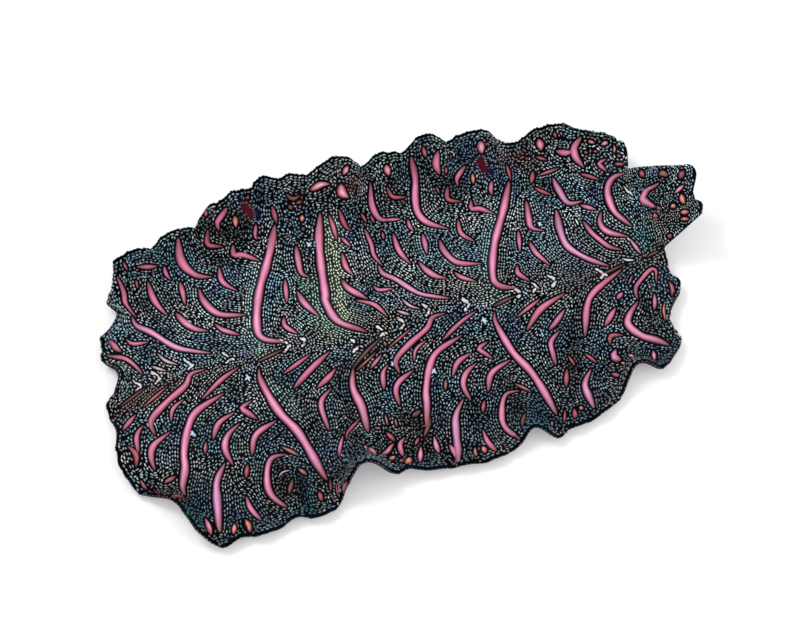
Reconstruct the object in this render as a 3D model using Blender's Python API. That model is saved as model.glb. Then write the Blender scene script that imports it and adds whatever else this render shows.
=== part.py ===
"""A life-size still model of the persian carpet flatworm, a ruffled polyclad flatworm, resting on the floor.

The animal is one thin sheet. Every point of it is worked out from two numbers: u runs along the body
from the tail (-1) to the front edge (1), and on to the tip of the head (2), and v runs across it from
the animal's right margin (-1) to its left (1). The row frame has +X to the head, +Y to the animal's
left and +Z up, with its origin on the floor under the middle of the body.
All sizes are in millimetres, and MM turns them into Blender's metres where the meshes are made.
"""

import math
from typing import NamedTuple

import bmesh
import bpy
import numpy as np

MM = 0.001

# The body in plan
HALF_LENGTH = 37.0
HALF_WIDTH = 21.9
CENTRE_X = -1.6
CENTRE_Y = 0.4
CORNER_ROUNDING = 0.3

# Thickness, from the middle of the body to its margin
MARGIN_THICK = 0.6
BODY_THICK = 1.7
RIDGE_THICK = 0.7
RIDGE_HALF_WIDTH = 2.6

# How far the thick middle and its ridge run, as shares of the half-width and half-length
THICK_SHARE = (0.9, 1.5)
RIDGE_SHARE = 1.2

# The line between the body's middle and its margins, and where each is cut across
MARGIN_V = 0.6
BODY_CUTS = (-1.0, -0.82, -0.34, 0.26, 0.76, 1.0)
LEFT_CUTS = (-1.0, -0.594, -0.361, -0.055, 0.135, 0.33, 0.555, 0.826, 1.0)
RIGHT_CUTS = (-1.0, -0.66, -0.342, 0.03, 0.4, 0.85, 1.0)

# The gap that touching pieces keep, and the facets' sides
PIECE_GAP = 0.3
BODY_FACET = 1.6
MARGIN_FACET_ALONG = 0.85
MARGIN_FACET_ACROSS = 1.15
HEAD_FACET = 0.75

# The head: a tab that grows from the front edge, rises and narrows
HEAD_RIGHT_V = -0.1625
HEAD_LEFT_V = 0.525
HEAD_BASE = (35.2, 3.6, 3.6)
HEAD_TIP = (40.2, 0.8, 7.3)
HEAD_BASE_HALF = 6.3
HEAD_TIP_HALF = 3.4
HEAD_SLANT = 0.5
HEAD_CUP = 0.9
HEAD_TILT = 1.3

# Its two feelers, folded up from the tip: each one's place across the tab, half-width and share of the rise
LEFT_FEELER = (0.62, 0.55, 1.0)
RIGHT_FEELER = (-0.66, 0.45, 0.6)
FEELER_RISE = 1.5
FEELER_REACH = 0.7
FEELER_SPLIT = 0.18
FEELER_ROOT = 0.52


class Fold(NamedTuple):
    """A raised fold or a lobe of the margin.

    side is the margin that it stands on, at is its place along that margin, half its half-width there,
    depth how far it runs in from the margin, lift its height at the margin, and reach how far it pushes
    the margin out.
    """

    side: str
    at: float
    half: float
    depth: float
    lift: float
    reach: float


FOLDS = (
    # The left margin, which stands up in a row of ruffles
    Fold("left", -30.5, 5.0, 9.0, 3.2, -0.3),
    Fold("left", -23.6, 3.6, 7.0, 1.3, 0.5),
    Fold("left", -14.5, 6.5, 11.0, 3.8, 0.3),
    Fold("left", -8.0, 6.5, 11.0, 3.7, 0.4),
    Fold("left", -1.0, 4.8, 11.0, 4.0, 0.7),
    Fold("left", -18.2, 2.6, 7.0, 1.2, 0.6),
    Fold("left", -15.0, 2.2, 7.0, 1.0, 0.0),
    Fold("left", -10.9, 2.0, 6.0, 0.9, 0.4),
    Fold("left", 5.8, 3.6, 8.0, 2.7, 0.1),
    Fold("left", 11.4, 4.0, 10.0, 3.8, 0.6),
    Fold("left", 14.8, 2.2, 5.0, 0.8, 0.0),
    Fold("left", 17.6, 4.0, 9.0, 3.8, -0.1),
    Fold("left", 23.0, 3.0, 6.0, 0.0, -0.9),
    Fold("left", 27.6, 4.8, 9.0, 2.0, -0.2),
    Fold("left", 32.6, 4.5, 6.0, 0.0, 0.2),
    # The right margin, which lies on the floor between a few raised folds
    Fold("right", -34.2, 2.8, 7.0, 1.8, -0.6),
    Fold("right", -26.0, 9.0, 8.0, 0.0, 2.7),
    Fold("right", -30.8, 3.6, 6.0, 0.0, 2.2),
    Fold("right", -17.8, 4.0, 8.0, 0.0, 1.7),
    Fold("right", -11.4, 4.2, 13.0, 4.5, -1.9),
    Fold("right", -6.5, 4.5, 8.0, 0.8, -1.0),
    Fold("right", 4.5, 7.0, 6.0, 0.0, 1.0),
    Fold("right", 10.3, 2.4, 8.0, 1.4, -0.7),
    Fold("right", 12.2, 2.4, 6.0, 0.0, 1.2),
    Fold("right", 17.0, 8.0, 8.0, 0.0, 1.4),
    Fold("right", 25.4, 3.2, 8.0, 1.9, -1.8),
    # The tail edge
    Fold("tail", 12.4, 2.8, 6.0, 1.2, -2.4),
    Fold("tail", 17.0, 4.5, 8.0, 0.0, -1.0),
    Fold("tail", 8.6, 3.0, 5.0, 1.4, -0.6),
    Fold("tail", 4.2, 3.6, 5.0, 1.2, -2.4),
    Fold("tail", -6.6, 4.2, 5.0, 0.6, 1.3),
    Fold("tail", -14.4, 2.8, 6.0, 1.0, -0.4),
    Fold("tail", -11.0, 5.5, 6.0, 0.0, 2.0),
    Fold("tail", -18.0, 4.0, 6.0, 0.0, 0.7),
    # The front edge, on both sides of the head
    Fold("front", 2.6, 9.5, 11.0, 3.2, 0.0),
    Fold("front", 13.6, 6.5, 9.0, 2.4, 3.6),
    Fold("front", -8.0, 2.8, 5.0, 0.8, 1.1),
    Fold("front", -11.8, 2.6, 5.0, 1.2, -0.6),
    Fold("front", -15.6, 3.0, 6.0, 0.4, 1.2),
)

# The whole of each margin turns up by RIM_LIFT within RIM_DEPTH of its edge
RIM_LIFT = {"left": 1.6, "right": 0.9, "tail": 0.7, "front": 0.8}
RIM_DEPTH = {"left": 8.0, "right": 4.5, "tail": 4.0, "front": 4.0}

# The fine ripple that runs round the edge
RIPPLE_LIFT = 0.2
RIPPLE_DEPTH = 3.0
RIPPLE_LENGTH = 3.7

# How fast a fold dies away from the margin
FADE_POWER = 1.7


class Stripe(NamedTuple):
    """A raised stripe of the back: points of its middle line in plan, and its width."""

    line: tuple
    width: float


# The stripes of the rear, which come again further forward at REPEAT_SCALE, moved by REPEAT_SHIFT
REPEATED_STRIPES = (
    Stripe(((-31.5, 12.0), (-31.0, 9.5), (-28.0, 6.0), (-24.0, 3.5)), 0.9),
    Stripe(((-28.5, 15.5), (-28.5, 13.5), (-27.5, 10.5)), 0.9),
    Stripe(((-22.5, 13.0), (-22.0, 9.5), (-20.5, 8.0), (-18.0, 7.0)), 1.0),
    Stripe(((-26.5, 10.5), (-25.0, 7.5), (-23.0, 6.5)), 1.0),
    Stripe(((-16.5, 17.0), (-17.0, 15.5), (-14.0, 14.0)), 0.9),
    Stripe(((-11.0, 17.5), (-15.5, 9.5), (-17.5, 5.0), (-17.0, 3.0), (-14.5, 1.5)), 1.2),
    Stripe(((-11.0, 8.0), (-9.5, 3.5)), 0.9),
    Stripe(((-25.0, 1.5), (-28.5, 0.0), (-31.5, -1.5), (-34.0, -3.0), (-34.0, -5.0)), 0.9),
    Stripe(((-24.0, -2.5), (-28.0, -3.5), (-30.0, -5.5), (-31.5, -9.0), (-33.0, -14.0)), 1.0),
    Stripe(((-19.0, -1.0), (-19.5, -2.5), (-18.5, -7.0), (-17.0, -11.0), (-16.0, -17.5)), 1.2),
    Stripe(((-23.5, -7.0), (-25.5, -8.0), (-26.5, -9.5), (-26.0, -12.0)), 0.9),
    Stripe(((-19.0, -8.0), (-22.0, -9.0), (-23.5, -11.5)), 0.9),
    Stripe(((-32.0, -5.0), (-34.5, -6.0), (-35.5, -9.5)), 0.9),
    Stripe(((-19.5, -12.5), (-21.5, -13.0), (-23.0, -16.5), (-21.5, -19.5)), 0.9),
    Stripe(((-27.0, -11.5), (-28.5, -13.0), (-29.5, -16.0), (-30.5, -20.0)), 1.1),
)
REPEAT_SCALE = 0.913
REPEAT_SHIFT = (29.0, -2.7)

# The stripes that come only once
SINGLE_STRIPES = (
    Stripe(((-23.0, 20.0), (-23.5, 17.0), (-22.5, 15.0), (-20.5, 14.0)), 1.1),
    Stripe(((-4.5, 18.0), (-6.5, 12.0), (-8.0, 6.0), (-7.5, 1.5), (-5.0, -1.0)), 1.2),
    Stripe(((-9.0, 14.5), (-9.5, 10.5)), 0.9),
    Stripe(((-8.0, -4.5), (-9.0, -7.5), (-8.5, -10.0), (-9.0, -13.5)), 1.2),
    Stripe(((-10.0, -1.5), (-16.0, -4.5)), 0.9),
    Stripe(((9.0, 21.0), (8.5, 17.5), (7.5, 14.0), (8.5, 12.0), (10.5, 10.0)), 1.1),
    Stripe(((3.0, 20.0), (2.0, 16.0), (3.0, 14.5), (4.5, 14.0)), 1.0),
    Stripe(((12.5, 20.0), (12.0, 17.5)), 1.0),
    Stripe(((-5.0, 7.5), (-3.0, 4.0)), 1.0),
    Stripe(((21.5, 11.0), (20.5, 6.5), (22.0, 5.5)), 0.9),
    Stripe(((19.5, 4.5), (20.0, 2.0), (21.5, -0.5)), 0.9),
    Stripe(((26.0, 13.0), (26.5, 8.5), (28.5, 8.0)), 1.0),
    Stripe(((29.5, 15.5), (30.0, 12.5)), 1.0),
    Stripe(((24.5, 8.0), (24.0, 2.5), (28.0, -2.0)), 1.0),
    Stripe(((34.0, 9.0), (31.5, 7.0), (31.0, 4.5), (32.5, 1.5)), 1.2),
    Stripe(((29.5, 5.5), (29.0, 4.0), (31.5, 0.5)), 0.9),
    Stripe(((21.0, -4.0), (17.0, -5.0), (14.5, -7.0)), 0.9),
    Stripe(((20.0, -14.5), (18.5, -16.5), (18.5, -20.0)), 1.0),
    Stripe(((29.0, -3.0), (25.0, -4.5), (23.0, -6.5), (21.0, -10.0)), 0.9),
    Stripe(((29.5, -8.0), (27.0, -10.5), (28.0, -12.5), (30.5, -15.0)), 1.2),
)

# A stripe's cross-section: its top's height over the back, its root's depth and its top's share of the width
STRIPE_HEIGHT = 0.28
STRIPE_ROOT = 0.28
STRIPE_TOP_SHARE = 0.5
STRIPE_STEP = 1.6
STRIPE_SHORTEST = 1.2
STRIPE_END = 0.45
STRIPE_TRACE = 0.1

# How often a stripe's corners are cut to round them, and the share of each side that a cut takes
CORNER_ROUNDS = 2
CORNER_CUT = 0.25

# How a place of the plan is found on the sheet: in so many rounds, each by this share of what is missing
PLAN_ROUNDS = 9
PLAN_SHARE = 0.8

# The step in u and v over which the sheet's slope is measured
SLOPE_STEP = 1e-3

# The skin's finish, and the angle from which an edge stays sharp
FLESH_COLOUR = (0.02, 0.025, 0.035, 1.0)
FLESH_ROUGHNESS = 0.35
SHARP_ANGLE = 50.0


def bump(offset):
    """A smooth hump, 1 at 0 and flat at 0 from -1 and 1 on."""
    return np.cos(np.clip(offset, -1.0, 1.0) * math.pi / 2) ** 2


def fade(inward, depth):
    """1 at the margin, falling smoothly to 0 at this depth."""
    return np.clip(1.0 - inward / depth, 0.0, 1.0) ** FADE_POWER


def body_underside(u, v):
    """The underside of the body at u and v, as x, y and height above the floor."""
    x = CENTRE_X + HALF_LENGTH * u * np.sqrt(1.0 - CORNER_ROUNDING * v * v)
    y = CENTRE_Y + HALF_WIDTH * v * np.sqrt(1.0 - CORNER_ROUNDING * u * u)
    along = {"left": x, "right": x, "tail": y, "front": y}
    inward = {
        "left": HALF_WIDTH * (1.0 - v),
        "right": HALF_WIDTH * (1.0 + v),
        "tail": HALF_LENGTH * (1.0 + u),
        "front": HALF_LENGTH * (1.0 - u),
    }
    outward = {"left": (0.0, 1.0), "right": (0.0, -1.0), "tail": (-1.0, 0.0), "front": (1.0, 0.0)}
    lift = np.zeros_like(x)
    push_x = np.zeros_like(x)
    push_y = np.zeros_like(x)
    for side, height in RIM_LIFT.items():
        ripple = RIPPLE_LIFT * np.sin(2 * math.pi * along[side] / RIPPLE_LENGTH)
        lift = lift + height * fade(inward[side], RIM_DEPTH[side])
        lift = lift + ripple * fade(inward[side], RIPPLE_DEPTH)
    for fold in FOLDS:
        amount = bump((along[fold.side] - fold.at) / fold.half) * fade(inward[fold.side], fold.depth)
        lift = lift + fold.lift * amount
        push_x = push_x + outward[fold.side][0] * fold.reach * amount
        push_y = push_y + outward[fold.side][1] * fold.reach * amount
    return np.stack([x + push_x, y + push_y, np.maximum(lift, 0.0)], -1)


def head_tab(s, t):
    """The underside of the head's free tab: s runs from its root to its tip, t from its right side to its left."""
    root, tip = np.array(HEAD_BASE), np.array(HEAD_TIP)
    half = HEAD_BASE_HALF + (HEAD_TIP_HALF - HEAD_BASE_HALF) * s
    middle = root + (tip - root) * s[..., None]
    feeler = sum(share * bump((t - place) / width) for place, width, share in (LEFT_FEELER, RIGHT_FEELER))
    x = middle[..., 0] + (HEAD_SLANT * t + FEELER_REACH * feeler) * s * s
    y = middle[..., 1] + half * t
    z = middle[..., 2] + HEAD_CUP * t * t + HEAD_TILT * t * (1.0 - s) + FEELER_RISE * feeler * s**2
    return np.stack([x, y, z], -1)


def underside(u, v):
    """The underside of the whole animal at u and v, in millimetres."""
    u, v = np.broadcast_arrays(np.asarray(u, float), np.asarray(v, float))
    body = body_underside(np.clip(u, -1.0, 1.0), v)
    s = np.clip(u - 1.0, 0.0, 1.0)
    middle_v = (HEAD_LEFT_V + HEAD_RIGHT_V) / 2
    t = (v - middle_v) / ((HEAD_LEFT_V - HEAD_RIGHT_V) / 2)
    step = (body - head_tab(np.zeros_like(s), t)) * ((1.0 - s) ** 2)[..., None]
    return np.where((s > 0.0)[..., None], head_tab(s, t) + step, body)


def thickness(u, v):
    """How thick the animal is at u and v."""
    middle = bump(v / THICK_SHARE[0]) * bump(u / THICK_SHARE[1])
    ridge = np.exp(-((HALF_WIDTH * v / RIDGE_HALF_WIDTH) ** 2)) * bump(u / RIDGE_SHARE)
    return MARGIN_THICK + (BODY_THICK - MARGIN_THICK) * middle + RIDGE_THICK * ridge


def surface_point(u, v, level, above=0.0):
    """The point at u and v, on the underside at level 0 and on the back at level 1, and this far above it."""
    low = underside(u, v)
    along = underside(u + SLOPE_STEP, v) - underside(u - SLOPE_STEP, v)
    across = underside(u, v + SLOPE_STEP) - underside(u, v - SLOPE_STEP)
    normal = np.cross(along, across)
    normal = normal / np.linalg.norm(normal, axis=-1, keepdims=True)
    return low + normal * (thickness(u, v) * level + above)[..., None]


def place_on_sheet(plan):
    """The u and v whose point on the back lies over these places of the plan, found in a few rounds."""
    u = (plan[:, 0] - CENTRE_X) / HALF_LENGTH
    v = (plan[:, 1] - CENTRE_Y) / HALF_WIDTH
    for _ in range(PLAN_ROUNDS):
        miss = plan - surface_point(u, v, np.ones_like(u))[:, :2]
        u = np.clip(u + PLAN_SHARE * miss[:, 0] / HALF_LENGTH, -1.0, 1.0)
        v = np.clip(v + PLAN_SHARE * miss[:, 1] / HALF_WIDTH, -1.0, 1.0)
    return u, v


class Patch(NamedTuple):
    """A piece of the sheet between two values of u and two of v, with its facets' sides."""

    name: str
    u: tuple
    v: tuple
    facet: tuple


def margin_patches(side, breaks):
    """The lobes of one margin, numbered from the tail to the head."""
    edge = (MARGIN_V, 1.0) if side == "left" else (-1.0, -MARGIN_V)
    facet = (MARGIN_FACET_ALONG, MARGIN_FACET_ACROSS)
    ends = list(zip(breaks[:-1], breaks[1:]))
    return [Patch(f"margin_{side}_{i + 1}", pair, edge, facet) for i, pair in enumerate(ends)]


def patches():
    """Every piece of the animal."""
    body = (BODY_FACET, BODY_FACET)
    end = (MARGIN_FACET_ACROSS, MARGIN_FACET_ALONG)
    head = (HEAD_FACET, HEAD_FACET)
    middle = (-MARGIN_V, MARGIN_V)
    tail_u, rear_u, middle_u, front_u, neck_u = zip(BODY_CUTS[:-1], BODY_CUTS[1:])
    feeler_u = (1.0 + FEELER_ROOT, 2.0)
    return [
        Patch("tail", tail_u, middle, end),
        Patch("body_rear", rear_u, middle, body),
        Patch("body_middle", middle_u, middle, body),
        Patch("body_front", front_u, middle, body),
        Patch("neck", neck_u, middle, end),
        Patch("head", (1.0, feeler_u[0]), (HEAD_RIGHT_V, HEAD_LEFT_V), head),
        Patch("feeler_right", feeler_u, (HEAD_RIGHT_V, FEELER_SPLIT), head),
        Patch("feeler_left", feeler_u, (FEELER_SPLIT, HEAD_LEFT_V), head),
        *margin_patches("left", LEFT_CUTS),
        *margin_patches("right", RIGHT_CUTS),
    ]


def inset(patch):
    """The patch's own u and v, drawn back by half the gap wherever another piece lies beyond the line."""
    head = patch.u[1] > 1.0
    u_scale = HEAD_TIP[0] - HEAD_BASE[0] if head else HALF_LENGTH
    half_u, half_v = PIECE_GAP / 2 / u_scale, PIECE_GAP / 2 / (HALF_WIDTH * math.sqrt(1.0 - CORNER_ROUNDING))
    u_low = patch.u[0] + (half_u if patch.u[0] > -1.0 else 0.0)
    u_high = patch.u[1] - (half_u if patch.u[1] < 2.0 else 0.0)
    free_v = (HEAD_RIGHT_V, HEAD_LEFT_V) if head else (-1.0, 1.0)
    v_low = patch.v[0] + (half_v if patch.v[0] > free_v[0] else 0.0)
    v_high = patch.v[1] - (half_v if patch.v[1] < free_v[1] else 0.0)
    return u_low, u_high, v_low, v_high


def segments(patch, u_low, u_high, v_low, v_high):
    """How many facets the patch has along u and along v."""
    u_scale = HEAD_TIP[0] - HEAD_BASE[0] if patch.u[1] > 1.0 else HALF_LENGTH
    along = (u_high - u_low) * u_scale
    across = (v_high - v_low) * HALF_WIDTH
    return max(2, round(along / patch.facet[0])), max(2, round(across / patch.facet[1]))


def new_object(name, sheet, collection):
    """Turn a bmesh into an object of this collection."""
    bmesh.ops.recalc_face_normals(sheet, faces=sheet.faces[:])
    mesh = bpy.data.meshes.new(name)
    sheet.to_mesh(mesh)
    sheet.free()
    thing = bpy.data.objects.new(name, mesh)
    collection.objects.link(thing)
    return thing


def build_patch(patch, collection):
    """One closed piece: a grid in u and v, doubled for its thickness, then set in its place."""
    u_low, u_high, v_low, v_high = inset(patch)
    along, across = segments(patch, u_low, u_high, v_low, v_high)
    sheet = bmesh.new()
    bmesh.ops.create_grid(sheet, x_segments=along, y_segments=across, size=0.5)
    bmesh.ops.triangulate(sheet, faces=sheet.faces[:])
    doubled = bmesh.ops.extrude_face_region(sheet, geom=sheet.faces[:], use_keep_orig=True)
    raised = [item for item in doubled["geom"] if isinstance(item, bmesh.types.BMVert)]
    for vertex in raised:
        vertex.co.z = 1.0
    corners = np.array([vertex.co for vertex in sheet.verts])
    u = u_low + (corners[:, 0] + 0.5) * (u_high - u_low)
    v = v_low + (corners[:, 1] + 0.5) * (v_high - v_low)
    for vertex, place in zip(sheet.verts, surface_point(u, v, corners[:, 2]) * MM):
        vertex.co = place
    return new_object(patch.name, sheet, collection)


def rounded(points):
    """Cut a line's corners a few times, so that it bends smoothly."""
    points = np.array(points, float)
    for _ in range(CORNER_ROUNDS):
        near = points[:-1] + CORNER_CUT * (points[1:] - points[:-1])
        far = points[1:] + CORNER_CUT * (points[:-1] - points[1:])
        inner = np.stack([near, far], 1).reshape(-1, 2)[1:-1]
        points = np.concatenate([points[:1], inner, points[-1:]])
    return points


def evenly(points, step):
    """Points set evenly along a line, about this far apart and at least three."""
    run = np.concatenate([[0.0], np.cumsum(np.linalg.norm(np.diff(points, axis=0), axis=-1))])
    places = np.linspace(0.0, run[-1], max(3, round(run[-1] / step) + 1))
    return np.stack([np.interp(places, run, points[:, axis]) for axis in (0, 1)], -1)


def stretches(line, u, v, patch):
    """The stretches of a fine line, at these u and v, that lie on the patch, and which of their ends are cut."""
    u_low, u_high, v_low, v_high = inset(patch)
    inside = (u >= u_low) & (u <= u_high) & (v >= v_low) & (v <= v_high)
    edges = np.flatnonzero(np.diff(np.concatenate([[0], inside, [0]])))
    for first, last in zip(edges[::2], edges[1::2]):
        if (last - first) * STRIPE_TRACE >= STRIPE_SHORTEST:
            yield line[first:last], (first > 0, last < len(line))


def build_stripe(stripe, line, cut, patch, collection):
    """One stretch of a stripe as a closed bar along the back, its root sunk into the flesh."""
    line = evenly(line, STRIPE_STEP)
    ahead = np.gradient(line, axis=0)
    side = np.stack([-ahead[:, 1], ahead[:, 0]], -1) / np.linalg.norm(ahead, axis=-1, keepdims=True)
    size = np.ones(len(line))
    size[0], size[-1] = (1.0 if is_cut else STRIPE_END for is_cut in cut)
    u_low, u_high, v_low, v_high = inset(patch)
    bar = bmesh.new()
    corners = []
    for share, above in (
        (-1.0, -STRIPE_ROOT),
        (-STRIPE_TOP_SHARE, STRIPE_HEIGHT),
        (STRIPE_TOP_SHARE, STRIPE_HEIGHT),
        (1.0, -STRIPE_ROOT),
    ):
        u, v = place_on_sheet(line + side * (size * share * stripe.width / 2)[:, None])
        u, v = np.clip(u, u_low, u_high), np.clip(v, v_low, v_high)
        height = size * above if above > 0 else np.full_like(size, above)
        places = surface_point(u, v, np.ones_like(u), height) * MM
        corners.append([bar.verts.new(place) for place in places])
    for i in range(len(line) - 1):
        for a, b in zip(corners, corners[1:] + corners[:1]):
            bar.faces.new((a[i], a[i + 1], b[i + 1], b[i]))
    bar.faces.new([row[0] for row in corners])
    bar.faces.new([row[-1] for row in reversed(corners)])
    bmesh.ops.triangulate(bar, faces=bar.faces[:])
    return new_object("stripe", bar, collection)


def all_stripes():
    """Every stripe: the repeated ones twice, and the single ones."""
    again = []
    for stripe in REPEATED_STRIPES:
        moved = np.array(stripe.line) * REPEAT_SCALE + np.array(REPEAT_SHIFT)
        again.append(Stripe(moved, stripe.width * REPEAT_SCALE))
    return [*REPEATED_STRIPES, *again, *SINGLE_STRIPES]


def keep_largest(mesh):
    """Drop every surface of the mesh but the largest."""
    shape = bmesh.new()
    shape.from_mesh(mesh)
    left, surfaces = set(shape.verts), []
    while left:
        surface, edge = set(), [left.pop()]
        while edge:
            vertex = edge.pop()
            surface.add(vertex)
            near = {link.other_vert(vertex) for link in vertex.link_edges} & left
            left -= near
            edge.extend(near)
        surfaces.append(surface)
    surfaces.sort(key=len)
    for surface in surfaces[:-1]:
        bmesh.ops.delete(shape, geom=list(surface), context="VERTS")
    shape.to_mesh(mesh)
    shape.free()


def fuse(piece, bars):
    """Join the bars, which are the objects of a collection, to the piece by one union."""
    union = piece.modifiers.new("union", "BOOLEAN")
    union.operation = "UNION"
    union.operand_type = "COLLECTION"
    union.collection = bars
    union.solver = "EXACT"
    bpy.context.view_layer.update()
    graph = bpy.context.evaluated_depsgraph_get()
    fused = bpy.data.meshes.new_from_object(piece.evaluated_get(graph))
    piece.modifiers.clear()
    piece.data = fused
    for bar in list(bars.objects):
        bpy.data.objects.remove(bar, do_unlink=True)
    keep_largest(fused)


def finish_piece(piece, material):
    """Shade the piece smooth between its sharp edges, and give it its material."""
    piece.data.shade_smooth()
    piece.data.set_sharp_from_angle(angle=math.radians(SHARP_ANGLE))
    piece.data.materials.clear()
    piece.data.materials.append(material)


def flesh_material():
    """The wet, near-black skin."""
    material = bpy.data.materials.new("flesh")
    material.use_nodes = True
    shader = material.node_tree.nodes["Principled BSDF"]
    shader.inputs["Base Color"].default_value = FLESH_COLOUR
    shader.inputs["Roughness"].default_value = FLESH_ROUGHNESS
    shader.inputs["Metallic"].default_value = 0.0
    return material


def clear_scene():
    """Remove whatever the scene starts with."""
    for thing in list(bpy.data.objects):
        bpy.data.objects.remove(thing, do_unlink=True)


def main():
    """Build every piece of the animal."""
    clear_scene()
    collection = bpy.data.collections.new("persian_carpet_flatworm")
    bpy.context.scene.collection.children.link(collection)
    material = flesh_material()
    bars = bpy.data.collections.new("stripe_bars")
    bpy.context.scene.collection.children.link(bars)
    traces = []
    for stripe in all_stripes():
        fine = evenly(rounded(stripe.line), STRIPE_TRACE)
        traces.append((stripe, fine, *place_on_sheet(fine)))
    for patch in patches():
        piece = build_patch(patch, collection)
        if patch.u[1] <= 1.0:
            for stripe, fine, u, v in traces:
                for line, cut in stretches(fine, u, v, patch):
                    build_stripe(stripe, line, cut, patch, bars)
        if bars.objects:
            fuse(piece, bars)
        finish_piece(piece, material)
    bpy.data.collections.remove(bars)


main()
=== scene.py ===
"""Dress the persian carpet flatworm: one wet black skin, raised pink stripes and rows of pale grains."""

import logging
import math
from dataclasses import dataclass, field
from enum import Enum

import bpy
import numpy as np
from mathutils import Matrix, Vector
from mathutils.bvhtree import BVHTree
from mathutils.kdtree import KDTree


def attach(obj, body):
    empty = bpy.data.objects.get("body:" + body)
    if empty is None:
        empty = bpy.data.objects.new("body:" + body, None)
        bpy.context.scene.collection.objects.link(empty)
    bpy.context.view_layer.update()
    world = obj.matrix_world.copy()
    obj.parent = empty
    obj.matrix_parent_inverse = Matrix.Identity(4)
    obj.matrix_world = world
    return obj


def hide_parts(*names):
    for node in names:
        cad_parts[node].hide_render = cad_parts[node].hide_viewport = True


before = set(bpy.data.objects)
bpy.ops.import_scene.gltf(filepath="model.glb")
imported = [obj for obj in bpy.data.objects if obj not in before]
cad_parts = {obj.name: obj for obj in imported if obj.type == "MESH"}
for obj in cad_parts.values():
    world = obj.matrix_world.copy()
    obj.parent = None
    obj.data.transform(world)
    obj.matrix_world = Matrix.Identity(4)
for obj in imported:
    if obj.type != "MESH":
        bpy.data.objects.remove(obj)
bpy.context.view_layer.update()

log = logging.getLogger("flatworm")

MM = 0.001
Points = tuple[tuple[float, float], ...]
Shade = tuple[int, int, int]
FAR = 99.0


def linear(shade: Shade) -> np.ndarray:
    """Turn a colour of 0 to 255, as a screen shows it, into the renderer's linear values."""
    shares = (level / 255 for level in shade)
    return np.array([s / 12.92 if s <= 0.04045 else ((s + 0.055) / 1.055) ** 2.4 for s in shares])


def blend(first: np.ndarray, second: np.ndarray, share: np.ndarray | float) -> np.ndarray:
    """Mix two colours, with this share of the second."""
    return first * (1 - share) + second * share


def bump(offset: np.ndarray) -> np.ndarray:
    """A smooth hump, 1 at 0 and flat at 0 from -1 and 1 on."""
    return np.cos(np.clip(offset, -1.0, 1.0) * math.pi / 2) ** 2


def fade(inward: np.ndarray, depth: float, power: float = 1.7) -> np.ndarray:
    """1 at the margin, falling smoothly to 0 at this depth."""
    return np.clip(1.0 - inward / depth, 0.0, 1.0) ** power


def ramp(value: np.ndarray | float, start: float, length: float) -> np.ndarray:
    """0 up to the start, rising evenly to 1 over this length."""
    return np.clip((value - start) / length, 0.0, 1.0)


def unit(vectors: np.ndarray) -> np.ndarray:
    """The same directions, each at length 1."""
    return vectors / np.linalg.norm(vectors, axis=-1, keepdims=True)


def run_along(points: np.ndarray) -> np.ndarray:
    """How far along their line these points lie."""
    return np.concatenate([[0.0], np.cumsum(np.linalg.norm(np.diff(points, axis=0), axis=-1))])


@dataclass(frozen=True)
class Wave:
    """A wave over the back: its size, its turn in radians a millimetre along and across, and its start.

    bend is how far its course winds, at a turn of its own along and across.
    """

    size: float
    turn_x: float
    turn_y: float = 0.0
    start: float = 0.0
    bend: float = 0.0
    bend_x: float = 0.0
    bend_y: float = 0.0

    def at(self, x: np.ndarray, y: np.ndarray | float = 0.0) -> np.ndarray:
        """The wave's height at these places."""
        course = self.bend * np.sin(self.bend_x * x + self.bend_y * y)
        return self.size * np.sin(self.turn_x * x + self.turn_y * y + self.start + course)


def drift(waves: tuple[Wave, ...], points: np.ndarray) -> np.ndarray:
    """A slow change about 0.5 over the back, made of waves.

    Args:
        waves: The waves.
        points: Places on the back.

    Returns:
        One value for each place.
    """
    level = np.full(len(points), 0.5)
    for wave in waves:
        level = level + wave.at(points[:, 0], points[:, 1])
    return level


def add_object(name: str, data: bpy.types.ID) -> bpy.types.Object:
    """Make an object and link it to the scene.

    Args:
        name: Its name.
        data: Its mesh, light or camera.

    Returns:
        The object.
    """
    thing = bpy.data.objects.new(name, data)
    bpy.context.scene.collection.objects.link(thing)
    return thing


@dataclass(frozen=True)
class Fold:
    """A raised fold or a lobe of the margin, in millimetres.

    side is the margin that it stands on, at its place along that margin, half its half-width there,
    depth how far it runs in, lift its height at the margin and reach how far it pushes the margin out.
    """

    side: str
    at: float
    half: float
    depth: float
    lift: float
    reach: float


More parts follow.
